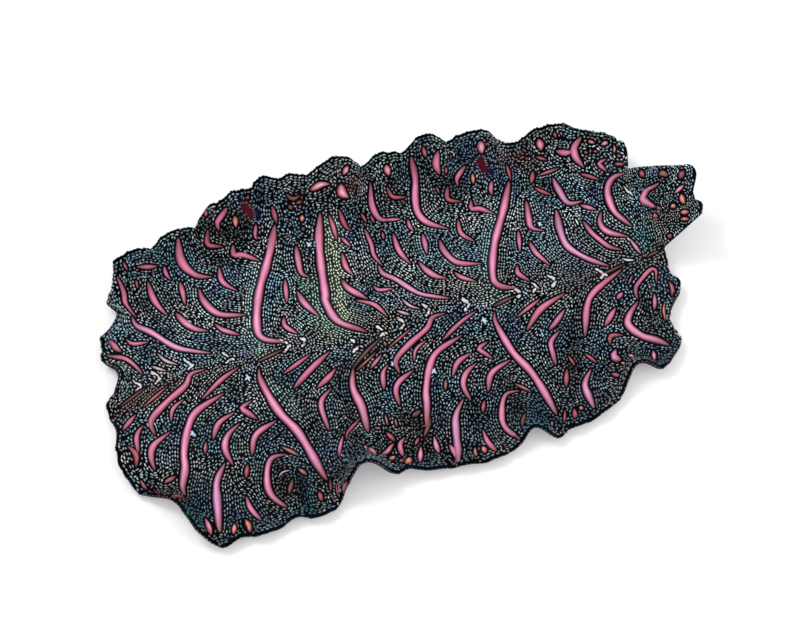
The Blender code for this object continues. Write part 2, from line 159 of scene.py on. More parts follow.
@dataclass
class SheetForm:
    """The animal's shape as one sheet, in millimetres, with the same sizes as the solids.

    u runs along the body from the tail (-1) to the front edge (1) and on to the head's tip (2), and v
    across it from the animal's right margin (-1) to its left (1).
    """

    half_length: float = 37.0
    half_width: float = 21.9
    centre_x: float = -1.6
    centre_y: float = 0.4
    corner_rounding: float = 0.3
    margin_thick: float = 0.6
    body_thick: float = 1.7
    body_half_u: float = 1.5
    body_half_v: float = 0.9
    ridge_thick: float = 0.7
    ridge_half_width: float = 2.6
    ridge_half_u: float = 1.2
    edge_round: float = 0.55
    edge_blunt: float = 0.35
    head_right_v: float = -0.1625
    head_left_v: float = 0.525
    head_base: tuple[float, float, float] = (35.2, 3.6, 3.6)
    head_tip: tuple[float, float, float] = (40.2, 0.8, 7.3)
    head_base_half: float = 6.3
    head_tip_half: float = 3.4
    head_slant: float = 0.5
    head_cup: float = 0.9
    head_tilt: float = 1.3
    feelers: tuple[tuple[float, float, float], ...] = ((0.62, 0.55, 1.0), (-0.66, 0.45, 0.6))
    feeler_reach: float = 0.7
    feeler_lift: float = 1.5
    ripple_lift: float = 0.2
    ripple_depth: float = 3.0
    ripple_length: float = 3.7
    scallop_length: float = 2.9
    scallop_depth: float = 2.2
    scallop_lift: float = 0.15
    scallop_reach: float = 0.2
    scallop_round: float = 0.6
    scallop_level: float = 0.75
    scallop_base: float = 0.5
    scallop_waves: tuple[Wave, ...] = (Wave(0.7, 0.9), Wave(0.35, 2.3, start=1.0))
    pucker_length: float = 1.25
    pucker_wave: Wave = Wave(2.0, 0.5)
    pucker_lift: float = 0.4
    pucker_reach: float = 0.25
    slope_step: float = 1e-3
    map_inset: float = 0.01
    map_height: float = 0.46
    map_back: float = 0.52
    map_under: float = 0.04
    rim_lift: dict[str, float] = field(
        default_factory=lambda: {"left": 1.6, "right": 0.9, "tail": 0.7, "front": 0.8}
    )
    rim_depth: dict[str, float] = field(
        default_factory=lambda: {"left": 8.0, "right": 4.5, "tail": 4.0, "front": 4.0}
    )
    folds: tuple[Fold, ...] = (
        Fold("left", -30.5, 5.0, 9.0, 3.2, -0.3),
        Fold("left", -23.6, 3.6, 7.0, 1.3, 0.5),
        Fold("left", -14.5, 6.5, 11.0, 3.8, 0.3),
        Fold("left", -8.0, 6.5, 11.0, 3.7, 0.4),
        Fold("left", -1.0, 4.8, 11.0, 4.0, 0.7),
        Fold("left", -18.2, 2.6, 7.0, 1.2, 0.6),
        Fold("left", -15.0, 2.2, 7.0, 1.0, 0.0),
        Fold("left", -10.9, 2.0, 6.0, 0.9, 0.4),
        Fold("left", 5.8, 3.6, 8.0, 2.7, 0.1),
        Fold("left", 11.4, 4.0, 10.0, 3.8, 0.6),
        Fold("left", 14.8, 2.2, 5.0, 0.8, 0.0),
        Fold("left", 17.6, 4.0, 9.0, 3.8, -0.1),
        Fold("left", 23.0, 3.0, 6.0, 0.0, -0.9),
        Fold("left", 27.6, 4.8, 9.0, 2.0, -0.2),
        Fold("left", 32.6, 4.5, 6.0, 0.0, 0.2),
        Fold("right", -34.2, 2.8, 7.0, 1.8, -0.6),
        Fold("right", -26.0, 9.0, 8.0, 0.0, 2.7),
        Fold("right", -30.8, 3.6, 6.0, 0.0, 2.2),
        Fold("right", -17.8, 4.0, 8.0, 0.0, 1.7),
        Fold("right", -11.4, 4.2, 13.0, 4.5, -1.9),
        Fold("right", -6.5, 4.5, 8.0, 0.8, -1.0),
        Fold("right", 4.5, 7.0, 6.0, 0.0, 1.0),
        Fold("right", 10.3, 2.4, 8.0, 1.4, -0.7),
        Fold("right", 12.2, 2.4, 6.0, 0.0, 1.2),
        Fold("right", 17.0, 8.0, 8.0, 0.0, 1.4),
        Fold("right", 25.4, 3.2, 8.0, 1.9, -1.8),
        Fold("tail", 12.4, 2.8, 6.0, 1.2, -2.4),
        Fold("tail", 17.0, 4.5, 8.0, 0.0, -1.0),
        Fold("tail", 8.6, 3.0, 5.0, 1.4, -0.6),
        Fold("tail", 4.2, 3.6, 5.0, 1.2, -2.4),
        Fold("tail", -6.6, 4.2, 5.0, 0.6, 1.3),
        Fold("tail", -14.4, 2.8, 6.0, 1.0, -0.4),
        Fold("tail", -11.0, 5.5, 6.0, 0.0, 2.0),
        Fold("tail", -18.0, 4.0, 6.0, 0.0, 0.7),
        Fold("front", 2.6, 9.5, 11.0, 3.2, 0.0),
        Fold("front", 13.6, 6.5, 9.0, 2.4, 3.6),
        Fold("front", -8.0, 2.8, 5.0, 0.8, 1.1),
        Fold("front", -11.8, 2.6, 5.0, 1.2, -0.6),
        Fold("front", -15.6, 3.0, 6.0, 0.4, 1.2),
    )

    def inward(self, u: np.ndarray, v: np.ndarray) -> dict[str, np.ndarray]:
        """How far in from each margin the places at u and v lie.

        Args:
            u: Places along the body.
            v: Places across it.

        Returns:
            The distance from each margin, by its name.
        """
        return {
            "left": self.half_width * (1.0 - v),
            "right": self.half_width * (1.0 + v),
            "tail": self.half_length * (1.0 + u),
            "front": self.half_length * (1.0 - u),
        }

    def body_underside(self, u: np.ndarray, v: np.ndarray) -> np.ndarray:
        """The underside of the body.

        Args:
            u: Places along the body, from -1 to 1.
            v: Places across it.

        Returns:
            One point for each place.
        """
        shape = u.shape
        u, v = u.ravel(), v.ravel()
        x = self.centre_x + self.half_length * u * np.sqrt(1.0 - self.corner_rounding * v * v)
        y = self.centre_y + self.half_width * v * np.sqrt(1.0 - self.corner_rounding * u * u)
        along = {"left": x, "right": x, "tail": y, "front": y}
        outward = {"left": (0, 1), "right": (0, -1), "tail": (-1, 0), "front": (1, 0)}
        inward = self.inward(u, v)
        lift, push_x, push_y = np.zeros_like(x), np.zeros_like(x), np.zeros_like(x)
        for side, height in self.rim_lift.items():
            rows = [(f.at, f.half, f.depth, f.lift, f.reach) for f in self.folds if f.side == side]
            at, half, depth, lifts, reaches = np.array(rows).T[..., None]
            amount = bump((along[side] - at) / half) * fade(inward[side], depth)
            ripple = self.ripple_lift * np.sin(2 * math.pi * along[side] / self.ripple_length)
            frill, scallop = self.scallops(along[side])
            ends = ("tail", "front") if side in ("left", "right") else ("left", "right")
            to_corner = np.minimum(inward[ends[0]], inward[ends[1]])
            near = fade(inward[side], self.scallop_depth) * np.clip(to_corner / self.scallop_length, 0.0, 1.0)
            lift = lift + height * fade(inward[side], self.rim_depth[side]) + (lifts * amount).sum(0)
            lift = lift + ripple * fade(inward[side], self.ripple_depth) + frill * near
            reach = (reaches * amount).sum(0) + scallop * near
            push_x = push_x + outward[side][0] * reach
            push_y = push_y + outward[side][1] * reach
        return np.stack([x + push_x, y + push_y, np.maximum(lift, 0.0)], -1).reshape(*shape, 3)

    def scallops(self, along: np.ndarray) -> tuple[np.ndarray, np.ndarray]:
        """The finest, uneven frills of the margin, finer than the solids have.

        Args:
            along: Places along the margin, in millimetres.

        Returns:
            How far each is raised and how far it is pushed out.
        """
        uneven = along
        for wave in self.scallop_waves:
            uneven = uneven + wave.at(along)
        lobe = np.abs(np.sin(math.pi * uneven / self.scallop_length)) ** self.scallop_round
        lobe = lobe - self.scallop_level
        small = np.sin(2 * math.pi * uneven / self.pucker_length + self.pucker_wave.at(along))
        raised = self.scallop_lift * (self.scallop_base + lobe + self.pucker_lift * small)
        return raised, self.scallop_reach * (lobe + self.pucker_reach * small)

    def head_tab(self, s: np.ndarray, t: np.ndarray) -> np.ndarray:
        """The underside of the head's free tab.

        Args:
            s: Places from its root (0) to its tip (1).
            t: Places from its right side (-1) to its left (1).

        Returns:
            One point for each place.
        """
        root, tip = np.array(self.head_base), np.array(self.head_tip)
        half = self.head_base_half + (self.head_tip_half - self.head_base_half) * s
        middle = root + (tip - root) * s[..., None]
        feeler = sum(size * bump((t - at) / half_wide) for at, half_wide, size in self.feelers)
        x = middle[..., 0] + (self.head_slant * t + self.feeler_reach * feeler) * s * s
        y = middle[..., 1] + half * t
        z = middle[..., 2] + self.head_cup * t * t + self.head_tilt * t * (1.0 - s)
        return np.stack([x, y, z + self.feeler_lift * feeler * s**2], -1)

    def underside(self, u: np.ndarray, v: np.ndarray) -> np.ndarray:
        """The underside of the whole animal.

        Args:
            u: Places along the body, from -1 to 2.
            v: Places across it.

        Returns:
            One point for each place.
        """
        u, v = np.broadcast_arrays(np.asarray(u, float), np.asarray(v, float))
        body = self.body_underside(np.clip(u, -1.0, 1.0), v)
        s = np.clip(u - 1.0, 0.0, 1.0)
        t = (2 * v - self.head_left_v - self.head_right_v) / (self.head_left_v - self.head_right_v)
        step = (body - self.head_tab(np.zeros_like(s), t)) * ((1.0 - s) ** 2)[..., None]
        return np.where((s > 0.0)[..., None], self.head_tab(s, t) + step, body)

    def thickness(self, u: np.ndarray, v: np.ndarray) -> np.ndarray:
        """How thick the animal is at u and v.

        Args:
            u: Places along the body.
            v: Places across it.

        Returns:
            The thickness in millimetres.
        """
        middle = bump(v / self.body_half_v) * bump(u / self.body_half_u)
        ridge = np.exp(-((self.half_width * v / self.ridge_half_width) ** 2))
        ridge = ridge * bump(u / self.ridge_half_u)
        return self.margin_thick + (self.body_thick - self.margin_thick) * middle + self.ridge_thick * ridge

    @property
    def head_span(self) -> float:
        """How far the head's tab reaches forward."""
        return self.head_tip[0] - self.head_base[0]

    def edge_distance(self, u: np.ndarray, v: np.ndarray) -> np.ndarray:
        """How far the places at u and v lie from the nearest free edge.

        Args:
            u: Places along the body.
            v: Places across it.

        Returns:
            The distance in millimetres.
        """
        inward = self.inward(u, v)
        sides = np.minimum(np.minimum(inward["left"], inward["right"]), inward["tail"])
        in_head = (v > self.head_right_v) & (v < self.head_left_v)
        body = np.minimum(sides, np.where(in_head, FAR, inward["front"]))
        across = np.minimum(v - self.head_right_v, self.head_left_v - v) * self.half_width
        head = np.minimum(np.where(u >= 1.0, across, FAR), (2.0 - u) * self.head_span)
        return np.where(u > 1.0, head, body)

    def place(self, u: np.ndarray, v: np.ndarray, level: np.ndarray | float) -> np.ndarray:
        """The point at u and v, on the underside at level 0 and on the back at level 1.

        Args:
            u: Places along the body.
            v: Places across it.
            level: The height through the flesh.

        Returns:
            One point for each place.
        """
        u, v, level = np.broadcast_arrays(np.asarray(u, float), np.asarray(v, float), level)
        return self.underside(u, v) + self.normal(u, v) * self.depth_at(u, v, level)[..., None]

    def depth_at(self, u: np.ndarray, v: np.ndarray, level: np.ndarray) -> np.ndarray:
        """How far above the underside this level lies, with the free edge rounded off.

        Args:
            u: Places along the body.
            v: Places across it.
            level: The height through the flesh, from 0 to 1.

        Returns:
            The distance in millimetres.
        """
        near = np.clip(1.0 - self.edge_distance(u, v) / self.edge_round, 0.0, 1.0)
        rounding = self.edge_blunt + (1 - self.edge_blunt) * np.sqrt(1.0 - near**2)
        return self.thickness(u, v) * (0.5 + (level - 0.5) * rounding)

    def slopes(self, u: np.ndarray, v: np.ndarray) -> tuple[np.ndarray, np.ndarray]:
        """How the underside runs at u and v, over two steps of each.

        Args:
            u: Places along the body.
            v: Places across it.

        Returns:
            The way along the body and the way across it.
        """
        step = self.slope_step
        along = self.underside(u + step, v) - self.underside(u - step, v)
        return along, self.underside(u, v + step) - self.underside(u, v - step)

    def normal(self, u: np.ndarray, v: np.ndarray) -> np.ndarray:
        """The direction straight out of the back at u and v."""
        return unit(np.cross(*self.slopes(u, v)))

    def length_at(self, u: np.ndarray) -> np.ndarray:
        """How far along the body u lies, in millimetres from the middle."""
        return self.half_length * np.minimum(u, 1.0) + self.head_span * np.maximum(u - 1.0, 0.0)

    def u_at(self, length: np.ndarray) -> np.ndarray:
        """The u of places this far along the body."""
        beyond = np.maximum(length - self.half_length, 0.0)
        return np.minimum(length, self.half_length) / self.half_length + beyond / self.head_span

    def unwrap(self, u: np.ndarray, v: np.ndarray, under: bool) -> np.ndarray:
        """The places at u and v on the flat map of the skin.

        Args:
            u: Places along the body.
            v: Places across it.
            under: True for the underside, which has its own half of the map.

        Returns:
            Two map coordinates for each place.
        """
        flat = self.half_length + self.length_at(u)
        length = 2 * self.half_length + self.head_span
        low = self.map_under if under else self.map_back
        across = low + self.map_height * (v + 1.0) / 2
        return np.stack([self.map_inset + (1 - 2 * self.map_inset) * flat / length, across], -1)


@dataclass(frozen=True)
class PhotoCamera:
    """The camera at the photograph's place, and its picture's own pixels."""

    azimuth: float = -20.0
    elevation: float = 62.0
    lens: float = 100.0
    sensor: float = 36.0
    width: int = 800
    height: int = 631
    pixels_per_mm: float = 7.92
    near: float = 0.01
    far: float = 10.0
    target: tuple[float, float, float] = (0.0, 0.0, 2.0)

    @property
    def focal(self) -> float:
        """The lens's length in pixels."""
        return self.lens / self.sensor * self.width

    @property
    def axes(self) -> tuple[np.ndarray, np.ndarray, np.ndarray]:
        """Work out which way the camera faces.

        Returns:
            Its right, up and backward directions.
        """
        a, e = math.radians(self.azimuth), math.radians(self.elevation)
        back = np.array([math.sin(a) * math.cos(e), -math.cos(a) * math.cos(e), math.sin(e)])
        right = np.array([math.cos(a), math.sin(a), 0.0])
        return right, np.cross(back, right), back

    @property
    def place(self) -> np.ndarray:
        """Where the camera stands, in millimetres."""
        return np.array(self.target) + self.axes[2] * self.focal / self.pixels_per_mm

    def ray(self, x: float, y: float) -> np.ndarray:
        """The direction in which the camera sees a pixel.

        Args:
            x: The pixel's column.
            y: The pixel's row.

        Returns:
            A direction of length 1.
        """
        right, up, back = self.axes
        way = -back + right * (x - self.width / 2) / self.focal
        return unit(way + up * (self.height / 2 - y) / self.focal)

    def project(self, points: np.ndarray) -> np.ndarray:
        """Where the camera sees these points.

        Args:
            points: Points in millimetres.

        Returns:
            The column and row of each.
        """
        right, up, back = self.axes
        away = points - self.place
        depth = -(away @ back)
        x = self.width / 2 + self.focal * (away @ right) / depth
        return np.stack([x, self.height / 2 - self.focal * (away @ up) / depth], -1)

    def build(self) -> bpy.types.Object:
        """Make the scene's camera.

        Returns:
            The camera object.
        """
        data = bpy.data.cameras.new("photo_camera")
        data.lens, data.sensor_width = self.lens, self.sensor
        data.clip_start, data.clip_end = self.near, self.far
        camera = add_object("photo_camera", data)
        right, up, back = self.axes
        turn = Matrix((right, up, back)).transposed().to_4x4()
        camera.matrix_world = Matrix.Translation(Vector(self.place * MM)) @ turn
        bpy.context.scene.camera = camera
        return camera


class Hue(Enum):
    """The kinds of mark, each with its middle, its flanks, its edge and its tips, as a screen shows them."""

    PINK = ((246, 168, 208), (202, 108, 150), (120, 36, 62), (132, 62, 62))
    LILAC = ((232, 164, 206), (190, 110, 158), (104, 42, 80), (156, 88, 100))
    RED = ((206, 98, 114), (166, 56, 68), (84, 18, 28), (92, 34, 34))
    # ORANGE and BLUSH are the spots' own red and pink, with pale middles that are painted highlights.
    ORANGE = ((250, 178, 148), (204, 86, 66), (104, 24, 26), (104, 34, 32))
    BLUSH = ((254, 196, 208), (218, 88, 118), (124, 28, 46), (130, 40, 48))
    PALE = ((222, 204, 200), (176, 140, 140), (92, 62, 66), (110, 80, 82))
    TAN = ((190, 126, 108), (146, 82, 70), (76, 38, 34), (80, 44, 40))
    BROWN = ((140, 76, 66), (108, 50, 46), (54, 22, 22), (56, 26, 24))
    # Painted highlight: the white-blue colour of the painted glints.
    PAINTED_GLINT = ((236, 248, 255), (178, 212, 238), (66, 92, 126), (130, 168, 204))
    WHITE = ((252, 252, 248), (222, 224, 224), (140, 140, 146), (176, 170, 176))


@dataclass(frozen=True)
class Mark:
    """One raised mark, read from the photograph: its line in pixels, its width there and its hue."""

    line: Points
    width: float
    hue: Hue = Hue.PINK


# The pattern repeats: the marks named repeated come again further forward, smaller.
REPEAT_SCALE = 0.913
REPEAT_SHIFT = (258.0, -24.0)

LEFT_REPEATED = (
    Mark(((117, 277), (124, 294), (127, 306), (137, 318)), 5.5),
    Mark(((132, 317), (137, 326), (152, 333), (175, 347), (193, 351), (211, 353)), 7, Hue.LILAC),
    Mark(((148, 282), (153, 298), (159, 307), (168, 316)), 7),
    Mark(((137, 267), (147, 267), (158, 266)), 5),
    Mark(((123, 262), (128, 271)), 3, Hue.RED),
    Mark(((136, 280), (138, 289)), 3, Hue.RED),
    Mark(((164, 266), (166, 274), (171, 280)), 5),
    Mark(((180, 282), (183, 294), (185, 305)), 6),
    Mark(((199, 289), (203, 300), (213, 311), (224, 315), (246, 315)), 8),
    Mark(((176, 313), (184, 322), (195, 329), (208, 331)), 8),
    Mark(((215, 324), (223, 330), (240, 335)), 6),
    Mark(((208, 230), (207, 242), (211, 246), (224, 247)), 6, Hue.RED),
    Mark(((219, 267), (221, 279), (226, 285), (238, 291)), 6),
    Mark(((126, 339), (133, 344), (149, 342)), 5),
    Mark(((107, 355), (125, 359), (136, 367), (143, 375)), 6),
    Mark(((157, 353), (166, 361), (179, 365)), 4, Hue.PALE),
    Mark(((151, 366), (159, 369), (167, 371)), 4, Hue.PALE),
    Mark(((195, 230), (199, 239)), 2, Hue.RED),
    Mark(((206, 209), (206, 217)), 4, Hue.RED),
    Mark(((227, 208), (218, 221), (219, 231)), 7),
    Mark(((235, 216), (236, 228)), 5, Hue.ORANGE),
    Mark(((256, 224), (255, 236), (258, 240)), 5),
    Mark(((233, 245), (234, 255), (243, 255), (260, 261)), 7),
    Mark(((275, 225), (269, 255), (259, 293), (257, 327), (264, 339), (286, 342)), 9),
    Mark(((272, 206), (277, 224)), 5, Hue.RED),
    Mark(((285, 279), (287, 303)), 5),
    Mark(((297, 291), (305, 304), (320, 317)), 7),
    Mark(((284, 317), (285, 326), (298, 334)), 6),
)
LEFT_REAR = (
    Mark(((108, 340), (114, 346), (122, 352)), 7),
    Mark(((178, 238), (180, 257), (186, 268), (198, 276), (212, 277)), 9),
    Mark(((320, 213), (319, 236), (321, 265), (325, 293), (326, 303), (339, 322), (367, 332)), 9),
    Mark(((296, 246), (299, 265), (302, 274), (310, 277)), 7),
    Mark(((247, 196), (248, 199)), 6, Hue.RED),
    Mark(((302, 215), (302, 222)), 5, Hue.ORANGE),
    Mark(((310, 190), (320, 185), (330, 184)), 8.5, Hue.BLUSH),
    Mark(((286, 194), (293, 199), (301, 195)), 4.5, Hue.BROWN),
    Mark(((296, 204), (302, 201)), 4, Hue.BROWN),
    Mark(((289, 205), (292, 210)), 4.5, Hue.BROWN),
    Mark(((302, 227), (304, 231)), 4, Hue.BROWN),
)
LEFT_MIDDLE = (
    Mark(((411, 157), (415, 178), (415, 197), (418, 213), (428, 223), (449, 229)), 9),
    Mark(((341, 184), (342, 193), (349, 198)), 9, Hue.BLUSH),
    Mark(((348, 166), (343, 175)), 6, Hue.BLUSH),
    Mark(((370, 182), (371, 197), (374, 211), (382, 220), (396, 218)), 8),
    Mark(((386, 165), (389, 176)), 7, Hue.BLUSH),
    Mark(((387, 187), (393, 197), (407, 197)), 5, Hue.RED),
    Mark(((423, 147), (426, 158)), 4, Hue.RED),
    Mark(((438, 151), (436, 164), (440, 175)), 8),
    Mark(((451, 154), (450, 160)), 3, Hue.RED),
    Mark(((339, 209), (343, 221), (347, 228), (353, 231)), 5, Hue.RED),
    Mark(((329, 215), (333, 226), (337, 240)), 5),
    Mark(((341, 237), (351, 247)), 4.5),
    Mark(((342, 253), (346, 267), (354, 276)), 6),
    Mark(((342, 280), (349, 289), (368, 299)), 8),
    Mark(((361, 213), (367, 223)), 3, Hue.RED),
    Mark(((480, 141), (482, 154)), 7.5, Hue.BLUSH),
)
LEFT_FRONT = (
    Mark(((526, 201), (529, 220), (532, 228), (545, 231)), 7),
    Mark(((533, 171), (531, 184)), 6, Hue.RED),
    Mark(((536, 176), (559, 168)), 4, Hue.RED),
    Mark(((534, 187), (543, 192), (552, 195)), 5, Hue.RED),
    Mark(((553, 178), (558, 189), (568, 203), (583, 201)), 8, Hue.LILAC),
    Mark(((580, 205), (597, 210)), 5),
    Mark(((539, 139), (541, 151)), 8.5, Hue.BLUSH),
    Mark(((554, 132), (556, 138)), 3, Hue.RED),
    Mark(((584, 152), (588, 153)), 3.5, Hue.RED),
    Mark(((593, 151), (598, 152)), 3, Hue.RED),
    Mark(((617, 155), (621, 157)), 3.5, Hue.RED),
    Mark(((513, 152), (516, 157)), 3.4, Hue.BROWN),
    Mark(((522, 149), (527, 152)), 3.4, Hue.BROWN),
    Mark(((519, 159), (525, 156)), 3.4, Hue.BROWN),
    Mark(((515, 163), (518, 167)), 3, Hue.BROWN),
    Mark(((536, 157), (547, 160)), 4, Hue.RED),
    Mark(((581, 137), (574, 148), (576, 158), (584, 168)), 9),
    Mark(((556, 151), (565, 153), (575, 151)), 7),
    Mark(((580, 174), (600, 180)), 5, Hue.RED),
    Mark(((556, 210), (560, 230), (568, 247), (586, 258), (609, 266)), 8, Hue.LILAC),
    Mark(((583, 221), (591, 232), (600, 240), (610, 247), (623, 250)), 6),
    Mark(((575, 218), (579, 226)), 2, Hue.WHITE),
    Mark(((588, 141), (595, 143)), 5, Hue.ORANGE),
    Mark(((601, 145), (608, 142)), 6, Hue.BLUSH),
    Mark(((614, 145), (614, 154)), 3, Hue.ORANGE),
    Mark(((606, 159), (599, 164), (607, 172)), 5),
    Mark(((614, 164), (625, 164)), 5, Hue.RED),
    Mark(((625, 173), (612, 179), (608, 196), (614, 211), (625, 221), (632, 226)), 9),
    Mark(((601, 212), (600, 223), (608, 232), (629, 237)), 7),
    Mark(((629, 238), (635, 246), (641, 254)), 5, Hue.LILAC),
    Mark(((627, 237), (630, 241)), 2.4, Hue.WHITE),
    Mark(((621, 258), (627, 260), (635, 260)), 2.8, Hue.WHITE),
    Mark(((623, 186), (634, 197)), 3, Hue.WHITE),
)
HEAD_MARKS = (
    Mark(((659, 183), (644, 195), (646, 202), (662, 210)), 7),
    Mark(((640, 171), (644, 177)), 6, Hue.RED),
    Mark(((659, 176), (663, 173), (668, 176)), 6, Hue.TAN),
    Mark(((684, 171), (679, 179)), 7, Hue.RED),
    Mark(((684, 185), (674, 194)), 5, Hue.BLUSH),
    Mark(((681, 194), (685, 204)), 7, Hue.ORANGE),
    Mark(((671, 205), (676, 207)), 6, Hue.ORANGE),
    Mark(((680, 212), (689, 212)), 5, Hue.ORANGE),
    Mark(((680, 219), (689, 219)), 4, Hue.ORANGE),
    Mark(((653, 216), (658, 217)), 3, Hue.RED),
    Mark(((667, 236), (672, 236)), 5, Hue.RED),
)
RIGHT_REPEATED = (
    Mark(((206, 369), (191, 374), (185, 386), (166, 403), (151, 421), (155, 435)), 7),
    Mark(((170, 384), (142, 408)), 3, Hue.RED),
    Mark(((240, 366), (221, 380), (202, 399)), 5),
    Mark(((284, 349), (257, 362)), 3.5, Hue.BROWN),
    Mark(((224, 393), (197, 411), (188, 428), (184, 454), (185, 470), (185, 495)), 8),
    Mark(((259, 368), (261, 381), (279, 412), (300, 435), (327, 480)), 9),
    Mark(((252, 400), (242, 408), (248, 413), (257, 419)), 6),
    Mark(((235, 412), (219, 423), (213, 439)), 6),
    Mark(((240, 423), (228, 435), (225, 449), (233, 465)), 7),
    Mark(((277, 420), (256, 435), (252, 455)), 7),
    Mark(((206, 441), (205, 454)), 4, Hue.TAN),
    Mark(((185, 398), (173, 409), (171, 422)), 4),
    Mark(((136, 414), (123, 430)), 4.5),
    Mark(((143, 425), (137, 435), (138, 453)), 6),
    Mark(((171, 431), (155, 444), (151, 455), (155, 470)), 7),
    Mark(((280, 446), (300, 456)), 4, Hue.TAN),
    Mark(((287, 454), (271, 459), (267, 481), (272, 496), (287, 507)), 7),
    Mark(((293, 478), (289, 494)), 5, Hue.BROWN),
    Mark(((248, 464), (246, 478)), 5, Hue.RED),
    Mark(((246, 496), (251, 509), (261, 520)), 6),
    Mark(((225, 463), (217, 481), (217, 500), (220, 532)), 9, Hue.LILAC),
)
RIGHT_REAR = (
    Mark(((127, 445), (136, 455), (136, 467)), 6, Hue.RED),
    Mark(((245, 519), (251, 532)), 8, Hue.ORANGE),
    Mark(((234, 523), (234, 534)), 4, Hue.ORANGE),
    Mark(((205, 518), (208, 525), (211, 535)), 9, Hue.BLUSH),
    Mark(((176, 476), (164, 483)), 5.5, Hue.RED),
    Mark(((140, 479), (147, 490)), 3.5, Hue.TAN),
    Mark(((171, 497), (185, 497)), 5, Hue.RED),
    Mark(((154, 488), (160, 494)), 3, Hue.BROWN),
    Mark(((332, 387), (321, 404), (329, 430)), 6),
    Mark(((343, 435), (339, 457)), 5),
    Mark(((336, 482), (338, 497)), 3, Hue.RED),
    Mark(((347, 481), (349, 494)), 6, Hue.RED),
    Mark(((319, 491), (322, 501)), 5, Hue.RED),
    Mark(((330, 351), (311, 369), (294, 388)), 7),
    Mark(((312, 353), (283, 374)), 4),
    Mark(((336, 368), (328, 378), (317, 388)), 6),
    Mark(((278, 478), (283, 472), (292, 470)), 2.6, Hue.PALE),
    Mark(((298, 468), (307, 475)), 4.5, Hue.TAN),
    Mark(((330, 478), (331, 492)), 3.5, Hue.BROWN),
    Mark(((353, 368), (353, 388), (362, 408), (368, 432)), 9),
    Mark(((361, 417), (348, 432), (347, 440)), 3.5, Hue.RED),
)
RIGHT_MIDDLE = (
    Mark(((369, 447), (375, 455)), 9, Hue.BLUSH),
    Mark(((365, 445), (366, 449)), 4, Hue.ORANGE),
    Mark(((394, 443), (382, 454)), 6),
    Mark(((405, 437), (400, 445), (403, 456)), 6),
    Mark(((419, 437), (415, 445)), 4, Hue.RED),
    Mark(((421, 446), (420, 462)), 6, Hue.BLUSH),
    Mark(((434, 436), (436, 445), (439, 453)), 5.5, Hue.LILAC),
    Mark(((385, 414), (388, 426)), 3, Hue.TAN),
    Mark(((395, 418), (397, 427)), 2.6, Hue.TAN),
    Mark(((431, 417), (428, 427), (424, 437)), 4, Hue.BROWN),
    Mark(((420, 427), (432, 424)), 3, Hue.BROWN),
    Mark(((475, 447), (476, 456)), 4.5, Hue.ORANGE),
    Mark(((482, 446), (486, 453)), 6.5, Hue.ORANGE),
    Mark(((401, 459), (402, 462)), 5, Hue.RED),
    Mark(((449, 444), (453, 450), (456, 458)), 5.5),
    Mark(((410, 457), (407, 464)), 8, Hue.ORANGE),
    Mark(((389, 459), (396, 456)), 6, Hue.ORANGE),
    Mark(((386, 432), (395, 441)), 5, Hue.RED),
    Mark(((374, 428), (381, 428)), 3, Hue.RED),
    Mark(((412, 417), (421, 410)), 6, Hue.BROWN),
)
RIGHT_FRONT = (
    Mark(((565, 293), (541, 309), (527, 330)), 7),
    Mark(((541, 298), (517, 317)), 4),
    Mark(((565, 309), (556, 322), (549, 330)), 6),
    Mark(((560, 330), (551, 342), (553, 354), (556, 365)), 6),
    Mark(((567, 368), (566, 387)), 5, Hue.RED),
    Mark(((574, 408), (575, 418)), 5, Hue.RED),
    Mark(((565, 409), (564, 423)), 3, Hue.RED),
    Mark(((552, 421), (552, 426)), 4, Hue.ORANGE),
    Mark(((580, 406), (582, 410)), 5, Hue.ORANGE),
    Mark(((568, 355), (575, 366)), 3, Hue.RED),
    Mark(((584, 353), (597, 363)), 4, Hue.RED),
    Mark(((591, 369), (585, 384), (589, 397), (594, 408)), 8, Hue.LILAC),
    Mark(((622, 269), (595, 291), (587, 307), (585, 336)), 7),
    Mark(((633, 274), (628, 285)), 2.5, Hue.RED),
    Mark(((657, 284), (656, 271), (650, 270), (637, 285), (636, 294), (638, 299)), 5),
    Mark(((623, 292), (617, 299)), 5),
    Mark(((616, 307), (605, 326)), 6),
    Mark(((638, 301), (629, 316), (629, 326), (642, 336), (656, 340), (669, 345)), 9),
    Mark(((654, 293), (654, 310)), 5),
    Mark(((668, 281), (672, 296)), 5, Hue.RED),
    Mark(((665, 299), (666, 321)), 4, Hue.ORANGE),
    Mark(((624, 335), (611, 336), (610, 345)), 5, Hue.RED),
    Mark(((616, 349), (614, 357), (621, 360)), 9),
    Mark(((621, 362), (625, 364)), 4, Hue.ORANGE),
    Mark(((628, 354), (634, 357)), 4, Hue.BLUSH),
    Mark(((653, 350), (654, 360)), 6, Hue.BLUSH),
    Mark(((611, 373), (620, 375)), 6, Hue.RED),
)
CREASES = (
    Mark(((352, 369), (366, 352), (384, 335)), 3.2, Hue.BROWN),
    Mark(((356, 371), (370, 358), (378, 350)), 2.4, Hue.TAN),
    Mark(((384, 341), (386, 346)), 3.6, Hue.TAN),
    Mark(((418, 318), (417, 323)), 2.6, Hue.TAN),
    Mark(((118, 408), (134, 396), (146, 388)), 2.8, Hue.BROWN),
    Mark(((597, 276), (612, 270), (628, 262)), 2.4, Hue.BROWN),
    Mark(((660, 251), (652, 254), (646, 258)), 2.4, Hue.BROWN),
)
MIDLINE = (
    (112, 420), (140, 390), (165, 378), (197, 366), (229, 358), (288, 346), (340, 352), (357, 350),
    (384, 332), (403, 322), (430, 312), (468, 304), (484, 306), (520, 293), (555, 283), (602, 272),
    (640, 256), (661, 249),
)


